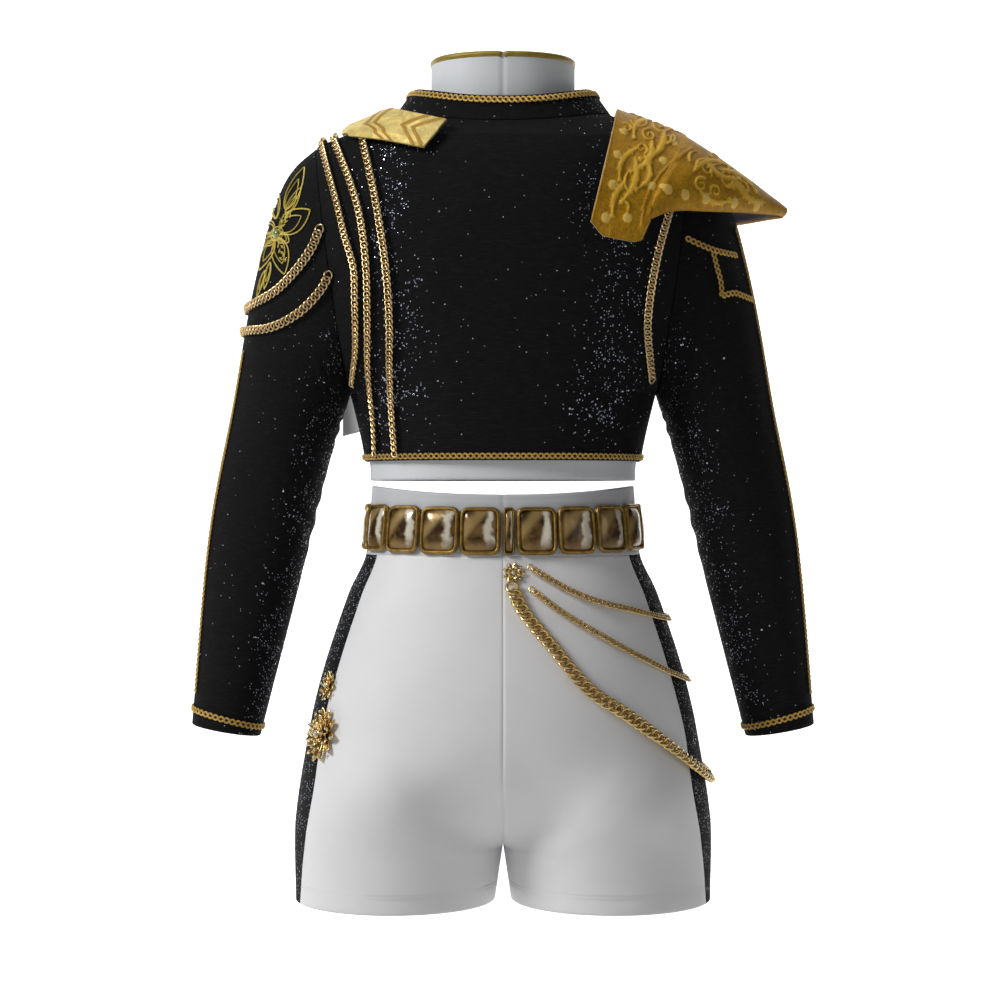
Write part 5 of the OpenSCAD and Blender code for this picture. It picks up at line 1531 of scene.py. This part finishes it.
for side in ("left", "right"):
    shorts_cloth("seat_" + side, 0, 90, side, SPANDEX, "white_spandex", "shorts_back_" + side)
    shorts_cloth("lap_" + side, 2, 90, side, SPANDEX, "white_spandex", "shorts_front_" + side)
    shorts_cloth("stripe_cloth_" + side, 1, 40, side, BLACK, "black_sequin", "side_stripe_" + side, True)
    found = []
    while len(found) < STRIPE_SEQUINS:
        d = rng.uniform(BAND_H + 6, HEM_DROP - 4)
        found.append((piece_u(1, rng.uniform(0.05, 0.95), d), d))
    u, d = np.array(found).T
    n = shorts_n(u, d)
    p = shorts_pt(u, d) + 0.5 * n
    on(discs(*sided(side, p, n), "sequins_stripe_" + side), SHORTS_BODY, "black_sequin")
    u, d = np.meshgrid(np.linspace(0, 0.992, 120), np.linspace(HEM_DROP, HEM_DROP - HEM_TURNED, 10))
    flat = unit(np.cross(shorts_pt(u + 0.004, d) - shorts_pt(u - 0.004, d), Z_AXIS))
    outer, inner = shorts_pt(u, d) - (CLOTH + 0.9) * flat, shorts_pt(u, d) - (CLOTH + 2.2) * flat
    if side == "left":
        outer, inner = mirror_grids(outer, inner)
    obj = slab(Bag(), outer, inner, loop=True).build("turned_hem_" + side, SPANDEX)
    on(obj, SHORTS_BODY, "white_spandex", "leg_hem_" + side)
    cut(obj, closed_grid(outer), stretch=1.08)
    # Twin stitching, as short threads that dip into the cloth
    bag = Bag()
    spans = ((0.002, STRIPE_BACK[-1][1] - 0.008, 400), (STRIPE_TO + 0.004, 0.998, 420))
    for drop, (low, high, count) in itertools.product(STITCH_ROWS, spans):
        u = np.linspace(low, high, count)
        n = shorts_n(u, np.full_like(u, drop))
        path = shorts_pt(u, np.full_like(u, drop)) + (-0.16 + 0.22 * np.sin(np.arange(count) * 1.26))[:, None] * n
        tube(bag, *sided(side, path, n), 0.42, 0.36, sides=5, round_=True)
    on(bag.build("hem_stitches_" + side, SPANDEX), SHORTS_BODY, "white_spandex")


# ---- Waistband, its elastic and stones ----
def band_cloth(name, top, foot, skin, thick, material, slot, node, ribs=0.0):
    t_all = np.unique(np.concatenate([np.arange(0, 360, 2.0), np.linspace(0, 4, 9), np.linspace(356, 359.6, 8)]))
    t, d = np.meshgrid(t_all, np.linspace(foot, top, 40))
    seam = seam_dent(t, 0.7) if not ribs else 0
    edge = 0.35 * np.exp(-((d - top - 4) / 0.8) ** 2) + 0.35 * np.exp(-((d - foot + 4) / 0.8) ** 2)
    wave = ribs * np.sin(d * 2 * math.pi / 4)
    outer = waist_pt(t, d) - (skin + seam + edge - wave)[..., None] * flat_out(t)
    inner = waist_pt(t, d) - (skin + thick) * flat_out(t)
    obj = slab(Bag(), outer, inner, loop=True).build(name, material)
    on(obj, SHORTS_BODY, slot, node)
    return cut(obj, closed_grid(outer), stretch=1.08)


band_cloth("band_cloth", 0, BAND_H, 0, 2.2, BAND, "white_spandex", "waistband")
band_cloth("band_elastic", 6, BAND_H - 6, 2.8, 1.1, ELASTIC, "elastic", "waistband_elastic", ribs=0.25)

GEM_H, GEM_MID, GEM_COUNT, PART_GEM, GEM_START = 41, 34, 19, 11, 2
turn = np.linspace(0, 360, 3601)
round_band = waist_pt(turn, GEM_MID)
walked = np.concatenate([[0], np.cumsum(np.linalg.norm(np.diff(round_band, axis=0)[:, :2], axis=1))])
gem_pitch = (walked[-1] - GEM_START - PART_GEM) / GEM_COUNT
angle_at = lambda length: float(np.interp(length, walked, turn))


def gem_frame(t):
    """Centre, outward direction and the two in-plane directions of the stone at turn t."""
    step = waist_pt(t + 0.5, GEM_MID) - waist_pt(t - 0.5, GEM_MID)
    across = unit(xyz(step[0], step[1], 0))
    head, foot = waist_pt(t, GEM_MID - GEM_H / 2), waist_pt(t, GEM_MID + GEM_H / 2)
    up = unit(head - foot)
    n = unit(np.cross(across, up))
    return (head + foot) / 2, n, across, np.cross(n, across)


def cushion_frame(bag, centre, n, across, up, w, h, rail, height):
    """Rounded-square rim with a rolled section, open in the middle over a back plate."""
    a = np.arange(64) * 360 / 64
    square = 7
    x, y = spow(cos(a), 2 / square) * (w / 2 - rail / 2), spow(sin(a), 2 / square) * (h / 2 - rail / 2)
    path = centre + x[:, None] * across + y[:, None] * up
    normals = np.broadcast_to(n, path.shape)
    cord = height * (1 + 0.05 * np.sin(np.arange(64) * 2.2))
    tube(bag, path, normals, rail, cord, sides=12, closed=True)
    tube(bag, path + 0.2 * n, normals, rail * 1.3, height * 0.45, sides=8, closed=True)
    plate = np.concatenate([path + 0.25 * n, [centre + 0.25 * n]])
    k = np.arange(64)
    bag.add(plate, tris=np.stack([k, (k + 1) % 64, np.full(64, 64)], -1))


rims, stones = Bag(), Bag()
for i in range(GEM_COUNT + 1):
    if i < GEM_COUNT:
        t, w = 360 - angle_at(GEM_START + gem_pitch * (i + 0.5)), gem_pitch - 0.5
    else:
        t, w = angle_at(PART_GEM / 2 - 0.5), PART_GEM - 1.2
    centre, n, across, up = gem_frame(np.array(t))
    cushion_frame(rims, centre + 0.5 * n, n, across, up, w, GEM_H, 3.0 if i < GEM_COUNT else 1.6, 4.0)
    inset = 4.2 if i < GEM_COUNT else 2.4
    dome(
        stones, centre + 1.0 * n, n, across, (w - inset) / 2, (GEM_H - 4.2) / 2, 5.4,
        rings=12, sides=48, square=5.5,
    )
on(rims.build("stone_rims", RIM), SHORTS_BODY, "gold_setting", "gem_settings")
on(stones.build("band_stones", STONE), SHORTS_BODY, "cabochon", "waist_gems")

# ---- Hip jewellery ----
HIP_UPPER = [(0, (24, 68)), (0.25, (52, 85)), (0.5, (80, 97)), (0.8, (117, 107)), (1, (145, 115))]
HIP_MIDDLE = [(0, (25, 87)), (0.25, (52, 107)), (0.5, (92, 131)), (0.8, (133, 154)), (1, (164, 170))]
HIP_HEAVY = [
    (0, (8, 86)), (0.15, (17, 105)), (0.35, (42, 136)), (0.5, (72, 171)), (0.65, (105, 194)),
    (0.82, (145, 226)), (1, (180, 256)),
]


def round_hip(route, lift, n=110):
    flat = track(route, eased(n))[:-1]
    back = find_u(flat[:, 0], flat[:, 1], 0, 0.5)
    front = find_u(flat[:, 0], flat[:, 1], 1, 0.5)
    end = track(route, 1.0)[1]
    u = np.concatenate([back, [0.5], front[::-1]])
    d = np.concatenate([flat[:, 1], [end], flat[::-1, 1]])
    normals = shorts_n(u, d)
    return shorts_pt(u, d) + lift * normals, normals


for name, route, w, wire, pitch in (
    ("upper", HIP_UPPER, 6.8, 1.5, 4.2), ("middle", HIP_MIDDLE, 6.8, 1.5, 4.2), ("heavy", HIP_HEAVY, 13.8, 3.3, 7.0)
):
    path, normals = round_hip(route, 0.9)
    obj = curb_chain(Bag(), path, normals, w, wire, pitch).build("hip_curb_" + name, JEWEL_GOLD)
    on(obj, "hip_chain_" + name, "gold_chain", "hip_chain_" + name)


def petal(bag, centre, n, across, up, turn, start, length, width, lift, cup):
    """One pressed metal petal that rises from its foot and curls at its tip."""
    k, s = np.linspace(0, 1, 9), np.linspace(-1, 1, 7)
    kk, ss = np.meshgrid(k, s, indexing="ij")
    half = width * np.sin(math.pi * (0.12 + 0.84 * kk ** 0.85)) ** 0.8
    out = start + length * kk
    side = half * ss
    high = lift + cup * kk ** 1.6 + 0.9 * (ss ** 2) * (1 - kk) + 0.5 * np.cos(ss * math.pi) * kk
    d1 = math.cos(turn) * across + math.sin(turn) * up
    d2 = -math.sin(turn) * across + math.cos(turn) * up
    top = centre + out[..., None] * d1 + side[..., None] * d2 + high[..., None] * n
    quads = grid_quads(9, 7)
    points = np.concatenate([top.reshape(-1, 3), (top - 0.7 * n).reshape(-1, 3)])
    rim = np.concatenate([np.arange(6), np.arange(6, 62, 7), np.arange(62, 56, -1), np.arange(56, 0, -7)])
    nxt = np.roll(rim, -1)
    wall = np.stack([rim, nxt, nxt + 63, rim + 63], -1)
    bag.add(points, np.concatenate([quads[:, ::-1], quads + 63, wall]))


def bloom(name, centre, n, layers, beads, gem, body_slot_node, stone_r):
    """Brooch: rings of petals, small crystals between them and a stone in the middle."""
    across = unit(np.cross(Z_AXIS, n))
    up = np.cross(n, across)
    metal, glass = Bag(), Bag()
    for count, start, length, width, lift, cup, twist in layers:
        for k in range(count):
            petal(metal, centre, n, across, up, 2 * math.pi * (k + twist) / count, start, length, width, lift, cup)
    for count, reach, lift, r in beads:
        for k in range(count):
            a = 2 * math.pi * (k + 0.5 * (count % 3)) / count + rng.uniform(-0.1, 0.1)
            at = centre + reach * (math.cos(a) * across + math.sin(a) * up) + lift * n
            bag = glass if k % 2 else metal
            dome(bag, at, n, across, r, r, r * 1.1, rings=5, sides=10)
    dome(metal, centre + gem * n, n, across, stone_r * 1.35, stone_r * 1.35, 1.2, rings=4, sides=16)
    dome(glass, centre + (gem + 0.7) * n, n, across, stone_r, stone_r, stone_r * 0.8, rings=7, sides=16)
    on(metal.build(name + "_metal", JEWEL_GOLD), SHORTS_BODY, "gold_jewel", body_slot_node)
    on(glass.build(name + "_crystals", CRYSTAL), SHORTS_BODY, "gold_jewel")


def hip_place(u, d, lift, side):
    n = shorts_n(u, d)
    return sided(side, shorts_pt(u, d) + lift * n, n)


centre, n = hip_place(np.array(0.37), np.array(172.0), 1.2, "left")
bloom(
    "brooch_upper", centre, n,
    [(7, 2, 11.5, 3.6, 0.4, 1.6, 0), (6, 1.5, 7.5, 2.6, 1.4, 2.2, 0.5)],
    [(7, 12.4, 1.6, 1.2), (6, 6.4, 2.8, 1.0)], 2.6, "hip_brooch_upper", 2.2,
)
centre, n = hip_place(np.array(0.352), np.array(214.0), 1.6, "left")
bloom(
    "brooch_lower", centre, n,
    [(11, 4, 20.5, 4.6, 0.4, 2.6, 0), (9, 3, 14.5, 3.8, 1.8, 3.2, 0.5), (7, 2, 8.5, 3.0, 3.4, 3.0, 0.2)],
    [(14, 20.5, 2.6, 1.5), (12, 13.6, 4.4, 1.4), (8, 7.4, 6.0, 1.2)], 5.6, "hip_brooch_lower", 3.0,
)
ROSETTE_X, ROSETTE_DROP = 9.0, 72.0
for name, low, high in (("rosette_back", 0, 0.5), ("rosette_front", 1, 0.5)):
    u = find_u(np.array([ROSETTE_X]), np.array([ROSETTE_DROP]), low, high)[0]
    centre, n = hip_place(np.array(u), np.array(ROSETTE_DROP), 0.8, "right")
    bloom(
        name + "_bloom", centre, n,
        [(9, 1.5, 8.2, 2.4, 0.3, 1.2, 0), (7, 1, 5.2, 2.0, 1.4, 1.6, 0.5)],
        [(9, 7.4, 1.3, 1.0), (6, 4.6, 2.4, 0.9)], 2.2, name, 1.6,
    )

# ---- Metal parts whose CAD shape is right ----
for node in ("zip_slider", "zip_pull"):
    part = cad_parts[node]
    part.data.materials.clear()
    part.data.materials.append(STEEL)

# ---- Floor and light ----
# The floor runs under the part and turns up far behind it, out of reach of a camera on that
# side. Its far half glows, so that the page behind the part is white.
FLOOR_Z, FLOOR_SIDE, FLOOR_NEAR, FLOOR_FAR, BEND = -0.56, 6.0, -6.0, 4.6, 1.0
profile = [(y, FLOOR_Z) for y in np.linspace(FLOOR_NEAR, FLOOR_FAR, 12)]
profile += [
    (FLOOR_FAR + BEND * math.sin(a), FLOOR_Z + BEND * (1 - math.cos(a))) for a in np.linspace(0.1, math.pi / 2, 14)
]
profile += [(FLOOR_FAR + BEND, 5.0)]
points = np.array([[(side, y, z) for side in (-FLOOR_SIDE, FLOOR_SIDE)] for y, z in profile]) / MM
stage_mat = Look("studio_paper", (0.93, 0.93, 0.93), 0.9)
grain = stage_mat.noise(30.0, 3.0)
stage_mat.set("Base Color", stage_mat.blend(grain, (0.92, 0.92, 0.92), (0.94, 0.94, 0.94)))
far = stage_mat.add("ShaderNodeSeparateXYZ", Vector=stage_mat.place).outputs[1]
stage_mat.set("Emission Color", (1.0, 1.0, 1.0, 1.0))
stage_mat.set("Emission Strength", stage_mat.ranged(far, -0.1, 0.55, 0.0, 1.0))
stage_mat.bump(stage_mat.noise(2.0, 2.0), 0.05)
backdrop = Bag().add(points, grid_quads(len(profile), 2)[:, ::-1]).build("studio_floor", stage_mat.mat)


def lamp(name, place, look_at, size, power):
    data = bpy.data.lights.new(name, "AREA")
    data.shape = "DISK"
    data.size, data.energy = size, power
    obj = bpy.data.objects.new(name, data)
    obj.location = place
    obj.rotation_euler = (Vector(look_at) - Vector(place)).to_track_quat("-Z", "Y").to_euler()
    bpy.context.scene.collection.objects.link(obj)


lamp("key", (-2.2, -1.2, 1.7), (0, 0, 0.05), 1.0, 64)
lamp("fill", (1.8, -1.7, 0.4), (0, 0, 0), 1.4, 2.5)
lamp("top", (0.1, 0.1, 1.9), (0, 0, 0), 1.2, 9)
world = bpy.data.worlds.new("studio")
world.use_nodes = True
world.node_tree.nodes["Background"].inputs["Color"].default_value = (1, 1, 1, 1)
world.node_tree.nodes["Background"].inputs["Strength"].default_value = 0.1
bpy.context.scene.world = world
bpy.context.scene.view_settings.view_transform = "Standard"
